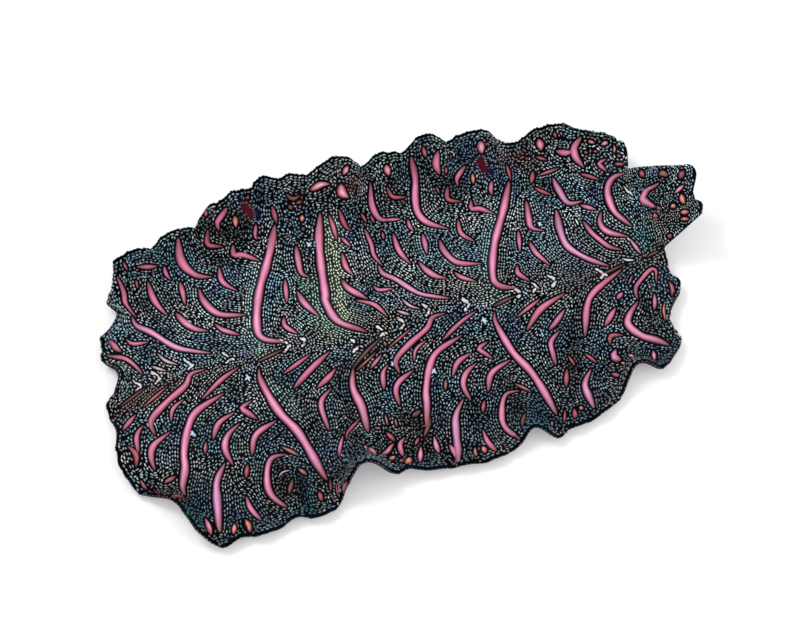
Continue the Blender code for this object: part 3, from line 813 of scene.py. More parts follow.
@dataclass(frozen=True)
class Splashes:
    """The small white splashes along the middle line, frayed and bent so that they point to the head.

    Each is two arms of several short strokes. Their lengths and widths are in the photograph's pixels.
    """

    centres: Points = (
        (139, 385), (158, 377), (190, 364), (229, 357), (287, 345), (304, 340), (357, 344), (383, 331),
        (403, 322), (429, 309), (468, 303), (519, 292), (535, 286), (555, 280), (602, 273),
    )
    arms: tuple[Points, Points] = (((-7.0, -5.0), (2.0, 1.0)), ((2.5, 1.0), (-3.0, 7.0)))
    strokes: int = 5
    overrun: float = 0.1
    shortest: float = 0.45
    stray_start: float = 1.4
    stray_end: float = 1.1
    white_share: float = 0.8
    widths: tuple[float, float] = (1.8, 3.3)
    seed: int = 11

    def marks(self) -> tuple[Mark, ...]:
        """Draw the strokes.

        Returns:
            Several short strokes for each splash, no two quite alike.
        """
        made = []
        draw = np.random.default_rng(self.seed)
        for x, y in self.centres:
            for start, end in self.arms:
                start, end = np.array(start) + (x, y), np.array(end) + (x, y)
                for _ in range(self.strokes):
                    first, last = np.sort(draw.uniform(-self.overrun, 1 + self.overrun, 2))
                    last = max(last, first + self.shortest)
                    a = start + (end - start) * first + draw.uniform(-self.stray_start, self.stray_start, 2)
                    b = start + (end - start) * last + draw.uniform(-self.stray_end, self.stray_end, 2)
                    hue = Hue.WHITE if draw.uniform() < self.white_share else Hue.PALE
                    made.append(Mark((tuple(a), tuple(b)), draw.uniform(*self.widths), hue))
        return tuple(made)


@dataclass(frozen=True)
class PaintedGlints:
    """Painted glints: bright specks of highlight, each broken into a few small strokes that cross.

    Every speck has its start, its end and its width in the photograph's pixels.
    """

    specks: tuple[tuple[tuple[float, float], tuple[float, float], float], ...] = (
        ((187, 320), (193, 323), 2.4),
        ((146, 423), (152, 427), 4.0),
        ((190, 430), (196, 437), 6.0),
        ((246, 373), (250, 382), 5.5),
        ((482, 316), (486, 325), 5.5),
        ((390, 361), (396, 366), 4.0),
        ((159, 339), (164, 344), 3.0),
        ((306, 242), (312, 247), 5.0),
        ((281, 228), (285, 232), 2.6),
        ((240, 253), (244, 255), 2.6),
        ((537, 222), (543, 226), 4.6),
        ((268, 242), (274, 246), 1.8),
        ((431, 368), (437, 374), 5.0),
    )
    long_width: float = 0.55
    short_width: float = 0.4
    short_length: float = 0.8
    crossings: int = 3
    turns: tuple[float, float] = (0.5, 2.6)
    stray: float = 0.2
    seed: int = 19

    def marks(self) -> tuple[Mark, ...]:
        """Draw the strokes.

        Returns:
            One long stroke and a few that cross it for each speck.
        """
        made = []
        draw = np.random.default_rng(self.seed)
        for first, last, width in self.specks:
            start, end = np.array(first, float), np.array(last, float)
            middle, (x, y) = (start + end) / 2, (end - start) / 2
            made.append(Mark((tuple(start), tuple(end)), self.long_width * width, Hue.PAINTED_GLINT))
            for turn in draw.uniform(*self.turns, self.crossings):
                cosine, sine = math.cos(turn), math.sin(turn)
                reach = self.short_length * np.array((x * cosine - y * sine, x * sine + y * cosine))
                at = middle + draw.uniform(-self.stray, self.stray, 2) * width
                made.append(Mark((tuple(at - reach), tuple(at + reach)), self.short_width * width, Hue.PAINTED_GLINT))
        return tuple(made)


def repeated(marks: tuple[Mark, ...]) -> tuple[Mark, ...]:
    """The same marks further forward, where the pattern repeats.

    Args:
        marks: The marks of the rear half.

    Returns:
        Their smaller copies.
    """
    shift_x, shift_y = REPEAT_SHIFT
    copies = []
    for mark in marks:
        line = tuple((x * REPEAT_SCALE + shift_x, y * REPEAT_SCALE + shift_y) for x, y in mark.line)
        copies.append(Mark(line, mark.width * REPEAT_SCALE, mark.hue))
    return tuple(copies)


@dataclass(frozen=True)
class StainOrShade:
    """A stretch of the back that is tinted otherwise, by a stain or by painted shade: its line and reach
    in pixels, its colour and strength.

    A bare one is painted shade, a dark hollow without grains.
    """

    line: Points
    reach: float
    colour: Shade
    strength: float
    bare: bool = False


# Stains and painted shade: the near-black patches and the bare hollows are painted shade in fold pockets,
# creases and furrows; the rest are stains that tint the grains and the skin.
STAINS_AND_SHADE = (
    StainOrShade(((300, 250), (310, 290), (330, 330)), 24, (84, 122, 108), 0.2),
    StainOrShade(((332, 225), (337, 290), (345, 318)), 8, (240, 250, 206), 0.6),
    StainOrShade(((311, 285), (318, 318), (340, 334)), 8, (190, 236, 206), 0.5),
    StainOrShade(((262, 262), (250, 300), (249, 334), (262, 350)), 7, (206, 240, 226), 0.45),
    StainOrShade(((496, 215), (486, 255), (485, 282), (497, 296)), 7, (196, 238, 226), 0.4),
    StainOrShade(((270, 384), (300, 412)), 7, (196, 236, 226), 0.3),
    StainOrShade(((205, 226), (238, 236)), 11, (10, 8, 12), 0.75),
    StainOrShade(((226, 208), (250, 226)), 9, (12, 8, 12), 0.6),
    StainOrShade(((425, 172), (462, 188)), 10, (12, 8, 12), 0.65),
    StainOrShade(((392, 180), (400, 205)), 7, (10, 8, 12), 0.55),
    StainOrShade(((352, 205), (372, 240)), 7, (12, 8, 10), 0.5),
    StainOrShade(((535, 180), (560, 190)), 8, (12, 8, 14), 0.5),
    StainOrShade(((590, 312), (575, 345), (570, 380)), 10, (10, 8, 12), 0.55),
    StainOrShade(((645, 300), (655, 325)), 8, (10, 8, 12), 0.5),
    StainOrShade(((140, 300), (165, 330)), 6, (8, 8, 16), 0.45),
    StainOrShade(((278, 466), (286, 490)), 8, (8, 8, 10), 0.75),
    StainOrShade(((509, 385), (520, 410)), 8, (8, 8, 10), 0.6),
    StainOrShade(((385, 440), (450, 455)), 9, (12, 8, 10), 0.55),
    StainOrShade(((470, 150), (500, 178)), 12, (60, 90, 130), 0.5),
    StainOrShade(((160, 250), (190, 262)), 10, (90, 160, 160), 0.35),
    StainOrShade(((535, 215), (560, 250), (590, 262)), 14, (130, 166, 196), 0.25),
    StainOrShade(((120, 360), (135, 385)), 12, (120, 150, 150), 0.4),
    StainOrShade(((642, 236), (643, 246)), 12, (90, 184, 190), 0.7),
    StainOrShade(((111, 420), (140, 400), (170, 384)), 9, (122, 84, 76), 0.6),
    StainOrShade(((330, 375), (356, 365), (382, 340)), 11, (104, 92, 80), 0.7),
    StainOrShade(((560, 288), (600, 275), (661, 249)), 10, (116, 92, 84), 0.6),
    StainOrShade(((301, 476), (306, 496), (311, 516)), 9, (22, 84, 106), 0.8),
    StainOrShade(((299, 480), (303, 500)), 5, (4, 6, 20), 0.85),
    StainOrShade(((224, 376), (236, 392)), 6, (10, 8, 12), 0.5),
    StainOrShade(((300, 400), (318, 436)), 8, (10, 8, 12), 0.45),
    StainOrShade(((345, 392), (352, 430)), 8, (10, 8, 12), 0.45),
    StainOrShade(((470, 395), (478, 425)), 8, (10, 8, 12), 0.4),
    StainOrShade(((205, 250), (220, 262)), 8, (10, 8, 12), 0.45),
    StainOrShade(((536, 398), (540, 415), (543, 431)), 10, (40, 92, 110), 0.6),
    StainOrShade(((245, 207), (251, 214)), 5, (92, 22, 36), 0.9, True),
    StainOrShade(((257, 212), (259, 216)), 3.6, (12, 22, 62), 0.9, True),
    StainOrShade(((480, 162), (485, 170)), 4.6, (86, 18, 32), 0.9, True),
    StainOrShade(((490, 171), (492, 173)), 3.6, (12, 22, 62), 0.9, True),
    StainOrShade(((298, 192), (298, 200)), 7, (96, 30, 34), 0.7),
    StainOrShade(((351, 188), (356, 190)), 6, (96, 30, 34), 0.7),
    StainOrShade(((505, 158), (528, 162)), 8, (120, 52, 36), 0.5),
    StainOrShade(((340, 190), (360, 178)), 7, (120, 52, 36), 0.5),
    StainOrShade(((426, 420), (424, 434)), 7, (84, 30, 28), 0.8),
    StainOrShade(((404, 416), (414, 424)), 8, (20, 14, 16), 0.7),
    StainOrShade(((150, 492), (185, 502)), 8, (80, 22, 26), 0.7),
    StainOrShade(((190, 508), (200, 524)), 10, (34, 96, 104), 0.7),
)


def new_mesh_object(
    name: str, points: np.ndarray, faces: list[tuple[int, ...]], material: bpy.types.Material
) -> bpy.types.Object:
    """Make a smooth-shaded mesh object.

    Args:
        name: The object's name.
        points: Its corners, in millimetres.
        faces: Its faces, as corner numbers.
        material: Its finish.

    Returns:
        The object, linked to the scene.
    """
    mesh = bpy.data.meshes.new(name)
    mesh.from_pydata((points * MM).tolist(), [], faces)
    mesh.validate()
    mesh.shade_smooth()
    mesh.materials.append(material)
    return add_object(name, mesh)


def paint(thing: bpy.types.Object, colours: np.ndarray) -> None:
    """Store one colour for each corner of a mesh, in the attribute named tint.

    Args:
        thing: The mesh object.
        colours: Linear colours, one row for each corner.
    """
    layer = thing.data.attributes.new("tint", "FLOAT_COLOR", "POINT")
    rows = np.ones((len(colours), 4), np.float32)
    rows[:, :3] = colours
    layer.data.foreach_set("color", rows.ravel())


def face_corners(thing: bpy.types.Object) -> np.ndarray:
    """Find which corner of the mesh lies at each corner of each face.

    Args:
        thing: The mesh object.

    Returns:
        The mesh's corner numbers.
    """
    corners = np.zeros(len(thing.data.loops), np.int32)
    thing.data.loops.foreach_get("vertex_index", corners)
    return corners


def set_map(thing: bpy.types.Object, places: np.ndarray) -> None:
    """Give a mesh the map named OFBake.

    Args:
        thing: The mesh object.
        places: Two map coordinates for each corner of each face.
    """
    layer = thing.data.uv_layers.new(name="OFBake")
    layer.data.foreach_set("uv", places.astype(np.float32).ravel())


class Graph:
    """A material and its nodes, made and joined in few words."""

    def __init__(self, name: str) -> None:
        """Start a material with its plain shader.

        Args:
            name: The material's name.
        """
        self.material = bpy.data.materials.new(name)
        self.material.use_nodes = True
        self.tree = self.material.node_tree
        self.shader = self.tree.nodes["Principled BSDF"]

    def add(self, kind: str, **inputs: float) -> bpy.types.Node:
        """Add a node and set its inputs, which have underscores for their names' spaces."""
        return self.adjust(self.tree.nodes.new(f"ShaderNode{kind}"), **inputs)

    def adjust(self, node: bpy.types.Node, **inputs: float | tuple[float, ...]) -> bpy.types.Node:
        """Set a node's inputs, which have underscores for their names' spaces.

        Args:
            node: The node.
            inputs: The values, by name.

        Returns:
            The node.
        """
        for name, value in inputs.items():
            node.inputs[name.replace("_", " ")].default_value = value
        return node

    def join(self, source: bpy.types.NodeSocket, target: bpy.types.NodeSocket) -> None:
        """Lead one socket into another."""
        self.tree.links.new(source, target)

    def noise(self, place: bpy.types.NodeSocket, scale: float, detail: float) -> bpy.types.NodeSocket:
        """Add noise.

        Args:
            place: The places that it is read at.
            scale: Its scale.
            detail: How fine it gets.

        Returns:
            Its value, from 0 to 1.
        """
        node = self.add("TexNoise", Scale=scale, Detail=detail)
        self.join(place, node.inputs["Vector"])
        return node.outputs["Fac"]

    def around(self, source: bpy.types.NodeSocket, middle: float, spread: float) -> bpy.types.NodeSocket:
        """Spread values from 0 to 1 round a middle one.

        Args:
            source: The values.
            middle: The middle one.
            spread: How far they reach to each side of it.

        Returns:
            The new values.
        """
        node = self.add("MapRange", To_Min=middle - spread, To_Max=middle + spread)
        self.join(source, node.inputs["Value"])
        return node.outputs["Result"]


@dataclass(frozen=True)
class Finish:
    """A wet finish that takes its colour from the mesh and its life from noise."""

    name: str
    roughness: float
    roughness_spread: float
    coat: float
    coat_roughness: float
    mottle: float
    mottle_scale: float
    bump: float
    bump_scale: float
    specular: float = 0.4
    mottle_detail: float = 4.0
    bump_detail: float = 3.0
    bump_distance: float = 0.1

    def build(self) -> bpy.types.Material:
        """Make the material.

        Returns:
            The material.
        """
        graph = Graph(self.name)
        shader, join = graph.shader, graph.join
        graph.adjust(shader, Coat_Weight=self.coat, Coat_Roughness=self.coat_roughness)
        graph.adjust(shader, Specular_IOR_Level=self.specular)
        tint = graph.add("Attribute")
        tint.attribute_name = "tint"
        place = graph.add("TexCoord").outputs["Object"]
        mottle = graph.noise(place, self.mottle_scale, self.mottle_detail)
        colour = graph.add("VectorMath")
        colour.operation = "MULTIPLY"
        join(tint.outputs["Color"], colour.inputs[0])
        join(graph.around(mottle, 1.0, self.mottle), colour.inputs[1])
        join(colour.outputs["Vector"], shader.inputs["Base Color"])
        join(graph.around(mottle, self.roughness, self.roughness_spread), shader.inputs["Roughness"])
        relief = graph.add("Bump", Strength=self.bump, Distance=self.bump_distance * MM)
        join(graph.noise(place, self.bump_scale, self.bump_detail), relief.inputs["Height"])
        join(relief.outputs["Normal"], shader.inputs["Normal"])
        return graph.material


SKIN_FINISH = Finish(
    name="wet_black_skin", roughness=0.4, roughness_spread=0.1, coat=0.0, coat_roughness=0.12,
    mottle=0.35, mottle_scale=900.0, bump=0.3, bump_scale=3500.0, specular=0.03,
)
WELT_FINISH = Finish(
    name="glossy_pink_welt", roughness=0.36, roughness_spread=0.08, coat=0.1, coat_roughness=0.1,
    mottle=0.16, mottle_scale=1400.0, bump=0.25, bump_scale=3000.0,
)
GRAIN_FINISH = Finish(
    name="pale_grain", roughness=0.42, roughness_spread=0.1, coat=0.0, coat_roughness=0.15,
    mottle=0.1, mottle_scale=1600.0, bump=0.1, bump_scale=3000.0,
)


@dataclass(frozen=True)
class Light:
    """A soft square light that faces the animal: its place and side in millimetres, its power in watts."""

    name: str
    place: tuple[float, float, float]
    side: float
    power: float

    def build(self) -> None:
        """Make the light."""
        data = bpy.data.lights.new(self.name, "AREA")
        data.size, data.energy = self.side * MM, self.power
        lamp = add_object(self.name, data)
        way = Vector(self.place) * MM
        lamp.location = way
        lamp.rotation_mode = "QUATERNION"
        lamp.rotation_quaternion = way.to_track_quat("Z", "Y")


@dataclass(frozen=True)
class Backdrop:
    """The plain white floor, the soft lights and the pale surroundings."""

    floor_half: float = 400.0
    floor_gap: float = 0.02
    floor_colour: Shade = (250, 250, 250)
    floor_roughness: float = 0.9
    floor_glow: float = 0.2
    surround: float = 0.78
    lights: tuple[Light, ...] = (
        Light("key_light", (-120.0, 160.0, 320.0), 120.0, 0.36),
        Light("fill_light", (260.0, -160.0, 240.0), 240.0, 0.16),
    )

    def floor(self) -> bpy.types.Object:
        """Make the floor, just under the animal.

        Returns:
            The floor.
        """
        graph = Graph("pale_floor")
        colour, white = (*linear(self.floor_colour), 1.0), (1.0, 1.0, 1.0, 1.0)
        graph.adjust(graph.shader, Base_Color=colour, Roughness=self.floor_roughness)
        graph.adjust(graph.shader, Emission_Color=white, Emission_Strength=self.floor_glow)
        half, low = self.floor_half, -self.floor_gap
        corners = [(-half, -half, low), (half, -half, low), (half, half, low), (-half, half, low)]
        floor = new_mesh_object("floor", np.array(corners), [(0, 1, 2, 3)], graph.material)
        return floor

    def build(self) -> None:
        """Make the floor, the lights and the surroundings."""
        self.floor()
        for light in self.lights:
            light.build()
        world = bpy.data.worlds.new("pale_surroundings")
        world.use_nodes = True
        background = world.node_tree.nodes["Background"]
        background.inputs["Color"].default_value = (1.0, 1.0, 1.0, 1.0)
        background.inputs["Strength"].default_value = self.surround
        bpy.context.scene.world = world
        bpy.context.scene.view_settings.view_transform = "Standard"


def distance_to_line(points: np.ndarray, line: Points) -> np.ndarray:
    """How far points of the picture lie from a line of the picture.

    Args:
        points: The points.
        line: The line's own points.

    Returns:
        One distance for each point.
    """
    best = np.full(len(points), np.inf)
    for start, end in zip(line[:-1], line[1:]):
        start, way = np.array(start, float), np.array(end, float) - start
        share = np.clip(((points - start) @ way) / max(way @ way, 1e-9), 0.0, 1.0)
        best = np.minimum(best, np.linalg.norm(points - start - share[:, None] * way, axis=-1))
    return best


@dataclass(frozen=True)
class StainAndShadeMap:
    """The stains and the painted shade, as the camera sees them on the back."""

    camera: PhotoCamera
    stains_and_shade: tuple[StainOrShade, ...] = STAINS_AND_SHADE
    bare_share: float = 0.72

    def tint(self, colours: np.ndarray, points: np.ndarray, lightness: float) -> np.ndarray:
        """Blend in the colours of the stains and the painted shade.

        Args:
            colours: Linear colours, one row for each point.
            points: Points on the back, in millimetres.
            lightness: How bright the patches' own colour is here, apart from the bare ones.

        Returns:
            The new colours.
        """
        seen = self.camera.project(points)
        for stain_or_shade in self.stains_and_shade:
            away = distance_to_line(seen, stain_or_shade.line)
            share = stain_or_shade.strength * np.exp(-((away / stain_or_shade.reach) ** 2))[:, None]
            colours = blend(colours, linear(stain_or_shade.colour) * (1.0 if stain_or_shade.bare else lightness), share)
        return colours

    def grows(self, points: np.ndarray) -> np.ndarray:
        """Which points lie outside every bare hollow of painted shade.

        Args:
            points: Points on the back, in millimetres.

        Returns:
            True where grains grow.
        """
        seen, open_skin = self.camera.project(points), np.ones(len(points), bool)
        for stain_or_shade in self.stains_and_shade:
            if stain_or_shade.bare:
                open_skin &= distance_to_line(seen, stain_or_shade.line) > self.bare_share * stain_or_shade.reach
        return open_skin


@dataclass
class Skin:
    """The one skin over the whole animal: a fine grid in u and v, doubled and closed round its edge."""

    form: SheetForm
    stains_and_shade: StainAndShadeMap
    along: int = 256
    across: int = 160
    head_rows: int = 24
    back_colour: Shade = (2, 2, 4)
    deep_colour: Shade = (3, 8, 22)
    deep_waves: tuple[Wave, ...] = (Wave(0.5, 0.4, 0.7, bend=1.0, bend_x=0.5), Wave(0.3, 1.9, -1.3))
    stain_or_shade_lightness: float = 0.05
    belly_colour: Shade = (96, 62, 84)
    belly_rim: float = 5.0
    belly_rim_level: float = 0.25
    wall_strip: tuple[float, float] = (0.03, 0.005)
    wall_fill: float = 0.9
    finish: Finish = SKIN_FINISH
    u: np.ndarray = field(init=False)
    v: np.ndarray = field(init=False)
    top: np.ndarray = field(init=False)
    quads: np.ndarray = field(init=False)

    def grid(self) -> tuple[np.ndarray, np.ndarray, np.ndarray]:
        """Lay out the cells of the sheet.

        Returns:
            u and v at the crossings, and which cells are flesh.
        """
        head = 1 + np.linspace(0, 1, self.head_rows + 1)[1:]
        u = np.concatenate([np.linspace(-1, 1, self.along + 1), head])
        v = np.linspace(-1, 1, self.across + 1)
        cells = np.ones((len(u) - 1, len(v) - 1), bool)
        middle = (v[1:] + v[:-1]) / 2
        cells[self.along :, :] = (middle > self.form.head_right_v) & (middle < self.form.head_left_v)
        return u, v, cells

    def build(self) -> bpy.types.Object:
        """Make the skin.

        Returns:
            The skin's mesh object.
        """
        u, v, cells = self.grid()
        used = np.zeros((len(u), len(v)), bool)
        for di, dj in ((0, 0), (0, 1), (1, 0), (1, 1)):
            used[di : di + cells.shape[0], dj : dj + cells.shape[1]] |= cells
        number = np.full(used.shape, -1)
        number[used] = np.arange(used.sum())
        self.u, self.v = (grid[used] for grid in np.meshgrid(u, v, indexing="ij"))
        self.top = self.form.place(self.u, self.v, 1.0)
        low = self.form.place(self.u, self.v, 0.0)
        i, j = np.nonzero(cells)
        self.quads = np.stack([number[i, j], number[i + 1, j], number[i + 1, j + 1], number[i, j + 1]], -1)
        faces = self.quads.tolist() + (self.quads[:, ::-1] + len(low)).tolist() + self.walls(cells, number)
        skin = new_mesh_object("skin", np.concatenate([self.top, low]), faces, self.finish.build())
        self.dress(skin)
        return skin

    def walls(self, cells: np.ndarray, number: np.ndarray) -> list[tuple[int, ...]]:
        """Close the free edge of the sheet.

        Args:
            cells: Which cells are flesh.
            number: The number of each crossing.

        Returns:
            The faces of the edge.
        """
        padded, count = np.pad(cells, 1), len(self.u)
        sides = (
            ((-1, 0), (0, 1), (0, 0)),
            ((1, 0), (1, 0), (1, 1)),
            ((0, -1), (0, 0), (1, 0)),
            ((0, 1), (1, 1), (0, 1)),
        )
        walls = []
        for (di, dj), first, second in sides:
            beyond = padded[1 + di : 1 + di + cells.shape[0], 1 + dj : 1 + dj + cells.shape[1]]
            for i, j in zip(*np.nonzero(cells & ~beyond)):
                a, b = number[i + first[0], j + first[1]], number[i + second[0], j + second[1]]
                walls.append((a, b, b + count, a + count))
        return walls

    def dress(self, skin: bpy.types.Object) -> None:
        """Paint the skin and give it its map: the back, the underside and a strip for the free edge.

        Args:
            skin: The skin's mesh object.
        """
        deep = np.clip(drift(self.deep_waves, self.top), 0.0, 1.0)[:, None]
        back = linear(self.back_colour) + linear(self.deep_colour) * deep
        # The stains and the painted shade tint the back, their colours dimmed on the skin, but the bare
        # hollows of painted shade keep their full colour.
        back = self.stains_and_shade.tint(back, self.top, self.stain_or_shade_lightness)
        inner = ramp(self.form.edge_distance(self.u, self.v), 0.0, self.belly_rim)[:, None]
        level = self.belly_rim_level + (1 - self.belly_rim_level) * inner
        paint(skin, np.concatenate([back, linear(self.belly_colour) * level]))
        places = [self.form.unwrap(self.u, self.v, under) for under in (False, True)]
        uv = np.concatenate(places)[face_corners(skin)].reshape(-1, 4, 2)
        walls = uv[2 * len(self.quads) :]
        inset, (high, low) = self.form.map_inset, self.wall_strip
        strip = np.array([(0.0, high), (1.0, high), (1.0, low), (0.0, low)])
        share = np.arange(len(walls)) / len(walls)
        start = np.stack([inset + (1 - 2 * inset) * share, 0 * share], -1)
        walls[:] = strip * (self.wall_fill / len(walls), 1.0) + start[:, None]
        set_map(skin, uv)

    def caster(self) -> BVHTree:
        """A search tree over the back, for finding what a pixel of the photograph falls on."""
        return BVHTree.FromPolygons([Vector(p) for p in self.top], self.quads.tolist())


@dataclass
class Spine:
    """The middle line of one mark, as u and v and in millimetres, with its directions."""

    line: np.ndarray
    middle: np.ndarray
    out: np.ndarray
    side: np.ndarray
    run: np.ndarray

    @classmethod
    def on(cls, form: SheetForm, line: np.ndarray) -> "Spine":
        """Lay a line on the back.

        Args:
            form: The animal's shape.
            line: u and v of its points.

        Returns:
            The line with its places and directions.
        """
        middle = form.place(line[:, 0], line[:, 1], 1.0)
        out = form.normal(line[:, 0], line[:, 1])
        return cls(line, middle, out, np.cross(out, unit(np.gradient(middle, axis=0))), run_along(middle))

    @property
    def length(self) -> float:
        """The line's length."""
        return self.run[-1]

    @property
    def to_end(self) -> np.ndarray:
        """How far each point lies from the nearer end."""
        return np.minimum(self.run, self.length - self.run)

    @property
    def from_middle(self) -> np.ndarray:
        """How far each point lies from the end that is nearer to the animal's middle line."""
        starts_inside = abs(self.line[0, 1]) < abs(self.line[-1, 1])
        return self.run if starts_inside else self.length - self.run


@dataclass
class Stripes:
    """The raised marks: low welts that lie on the skin and taper to their tips.

    A cross-section has points across the mark, from -1 at one edge to 1 at the other, and more beneath
    the skin. Lengths are in millimetres, shares count from 0 to 1.
    """

    form: SheetForm
    skin: Skin
    camera: PhotoCamera
    step: float = 0.38
    fewest_rings: int = 6
    curve_steps: int = 12
    height: float = 0.24
    full_half: float = 0.45
    highest: float = 1.1
    sunk: float = 0.03
    root: float = 0.18
    section: tuple[float, ...] = (-1.0, -0.84, -0.6, -0.3, 0.0, 0.3, 0.6, 0.84, 1.0)
    beneath: tuple[float, ...] = (0.6, 0.0, -0.6)
    section_round: float = 0.6
    tip_length: float = 2.6
    tip_share: float = 0.42
    tip_width: float = 0.22
    tip_round: float = 0.8
    inner_length: float = 5.5
    inner_share: float = 0.5
    inner_width: float = 0.5
    inner_round: float = 0.7
    wavers: tuple[Wave, ...] = (Wave(0.08, 1.5, 0.7), Wave(0.02, 4.3, 1.0))
    painted_sheen_waves: tuple[Wave, ...] = (Wave(0.5, 1.3, 0.9),)
    painted_sheen: tuple[float, float] = (0.84, 0.26)
    painted_warm_side: Shade = (190, 84, 72)
    painted_cool_side: Shade = (176, 100, 178)
    flank_level: Shade = (200, 108, 150)
    slim_colour: Shade = (216, 118, 146)
    slim_widths: tuple[float, float] = (9.0, 5.0)
    slim_most: float = 0.7
    red_colour: Shade = (220, 84, 118)
    red_middle: float = 0.6
    red_middle_reach: float = 10.0
    red_margin: float = 0.5
    red_margin_start: float = 7.0
    red_margin_reach: float = 12.0
    flank_at: float = 0.6
    flank_power: float = 1.4
    edge_start: float = 0.52
    edge_reach: float = 0.34
    edge_level: float = 0.7
    painted_side_share: float = 0.6
    painted_side_rim: float = 0.65
    tip_fade: float = 4.2
    tip_fade_share: float = 0.5
    tip_fade_power: float = 1.3
    tip_dim: float = 0.5
    rim_level: float = 0.06
    finish: Finish = WELT_FINISH
    tree: BVHTree = field(init=False)
    seen: np.ndarray = field(init=False)
    samples: list[np.ndarray] = field(init=False, default_factory=list)

    def locate(self, pixels: Points) -> np.ndarray:
        """Find the places on the back that pixels of the photograph fall on.

        Args:
            pixels: The pixels.

        Returns:
            u and v of each.
        """
        skin, found = self.skin, []
        for x, y in pixels:
            hit, _, face, _ = self.tree.ray_cast(Vector(self.camera.place), Vector(self.camera.ray(x, y)))
            if hit is None:
                nearest = int(np.argmin(np.hypot(self.seen[:, 0] - x, self.seen[:, 1] - y)))
                found.append((skin.u[nearest], skin.v[nearest]))
                continue
            corners = skin.quads[face]
            p, u, v = skin.top[corners], skin.u[corners], skin.v[corners]
            sides = np.stack([p[1] - p[0], p[3] - p[0]], -1)
            share = np.clip(np.linalg.lstsq(sides, np.array(hit) - p[0], rcond=None)[0], 0.0, 1.0)
            found.append((u[0] + share[0] * (u[1] - u[0]), v[0] + share[1] * (v[3] - v[0])))
        return np.array(found)

    def smooth(self, places: np.ndarray) -> np.ndarray:
        """Run a smooth curve through the places and set points evenly along it.

        Args:
            places: u and v of the line's own points.

        Returns:
            u and v of the new points.
        """
        places = np.stack([self.form.length_at(places[:, 0]), places[:, 1] * self.form.half_width], -1)
        ends = np.concatenate([[2 * places[0] - places[1]], places, [2 * places[-1] - places[-2]]])
        last, fine = len(ends) - 3, []
        for k in range(1, last + 1):
            t = np.linspace(0, 1, self.curve_steps, endpoint=k == last)[:, None]
            a, b, c, d = ends[k - 1 : k + 3]
            value = 2 * b + (c - a) * t + (2 * a - 5 * b + 4 * c - d) * t**2
            fine.append(0.5 * (value + (3 * b - a - 3 * c + d) * t**3))
        fine = np.concatenate(fine) / (1.0, self.form.half_width)
        fine[:, 0] = self.form.u_at(fine[:, 0])
        run = run_along(self.form.place(fine[:, 0], fine[:, 1], 1.0))
        even = np.linspace(0, run[-1], max(self.fewest_rings, int(run[-1] / self.step) + 1))
        return np.stack([np.interp(even, run, fine[:, k]) for k in (0, 1)], -1)

    def shifted(self, places: np.ndarray, moves: np.ndarray) -> np.ndarray:
        """Move places by distances along the surface.

        Args:
            places: u and v of each.
            moves: The move of each, in millimetres.

        Returns:
            The new u and v, kept on the sheet.
        """
        form, (u, v) = self.form, places.T
        along, across = (slope / (2 * form.slope_step) for slope in form.slopes(u, v))
        aa, bb, ab = (along**2).sum(-1), (across**2).sum(-1), (along * across).sum(-1)
        ma, mb = (moves * along).sum(-1), (moves * across).sum(-1)
        det = aa * bb - ab**2
        per_u = np.where(u > 1.0, form.head_span, form.half_length)
        new_u = form.u_at(form.length_at(u) + per_u * (ma * bb - mb * ab) / det)
        new_v = v + (mb * aa - ma * ab) / det
        new_v = np.where(new_u > 1.0, np.clip(new_v, form.head_right_v, form.head_left_v), new_v)
        return np.stack([np.clip(new_u, -1.0, 2.0), np.clip(new_v, -1.0, 1.0)], -1)

    def half_widths(self, mark: Mark, spine: Spine) -> np.ndarray:
        """Half the mark's width along its line, tapering to the tips and longer to the inner one.

        Args:
            mark: The mark.
            spine: Its middle line.

        Returns:
            One half-width for each point of the line.
        """
        tip = min(self.tip_length, self.tip_share * spine.length)
        rise = np.sin(ramp(spine.to_end, 0.0, tip) * math.pi / 2) ** self.tip_round
        taper = self.tip_width + (1 - self.tip_width) * rise
        inner = min(self.inner_length, self.inner_share * spine.length)
        rise = ramp(spine.from_middle, 0.0, inner) ** self.inner_round
        taper *= self.inner_width + (1 - self.inner_width) * rise
        slow, quick = self.wavers
        x, y, _ = spine.middle[0]
        waver = 1.0 + slow.at(spine.run, x) + quick.at(spine.run, y)
        return mark.width / self.camera.pixels_per_mm / 2 * taper * waver

    def core_colour(self, mark: Mark, spine: Spine, core: np.ndarray) -> np.ndarray:
        """The colour along the mark's middle, with painted sheen along it, redder where it is slim and on
        parts of the back.

        Args:
            mark: The mark.
            spine: Its middle line.
            core: Its hue's own middle colour.

        Returns:
            A linear colour for each point of the line.
        """
        # Painted sheen: the middle is lighter and darker in slow waves along the mark.
        least, more = self.painted_sheen
        core = core * (least + more * drift(self.painted_sheen_waves, spine.middle)[:, None])
        if mark.hue is not Hue.PINK:
            return core
        widest, span = self.slim_widths
        slim = np.clip((widest - mark.width) / span, 0.0, self.slim_most)
        core = blend(core, linear(self.slim_colour), slim)
        across = spine.line[:, 1] * self.form.half_width
        near_middle = np.clip(1.0 + across / self.red_middle_reach, 0.0, 1.0) * (across < 0)
        near_margin = ramp(across, self.red_margin_start, self.red_margin_reach)
        red = (self.red_middle * near_middle + self.red_margin * near_margin)[:, None]
        return blend(core, linear(self.red_colour), red)

    def colours(self, mark: Mark, spine: Spine) -> np.ndarray:
        """The colours of a mark's corners: pale along the middle, darker to the edges and the tips, with
        painted side light on the flanks.

        Args:
            mark: The mark.
            spine: Its middle line.

        Returns:
            A linear colour for each corner.
        """
        core, flank, edge, tip = (linear(shade) for shade in mark.hue.value)
        core = self.core_colour(mark, spine, core)
        fading = min(self.tip_fade, self.tip_fade_share * spine.length)
        at_tip = (1.0 - ramp(spine.to_end, 0.0, fading))[:, None] ** self.tip_fade_power
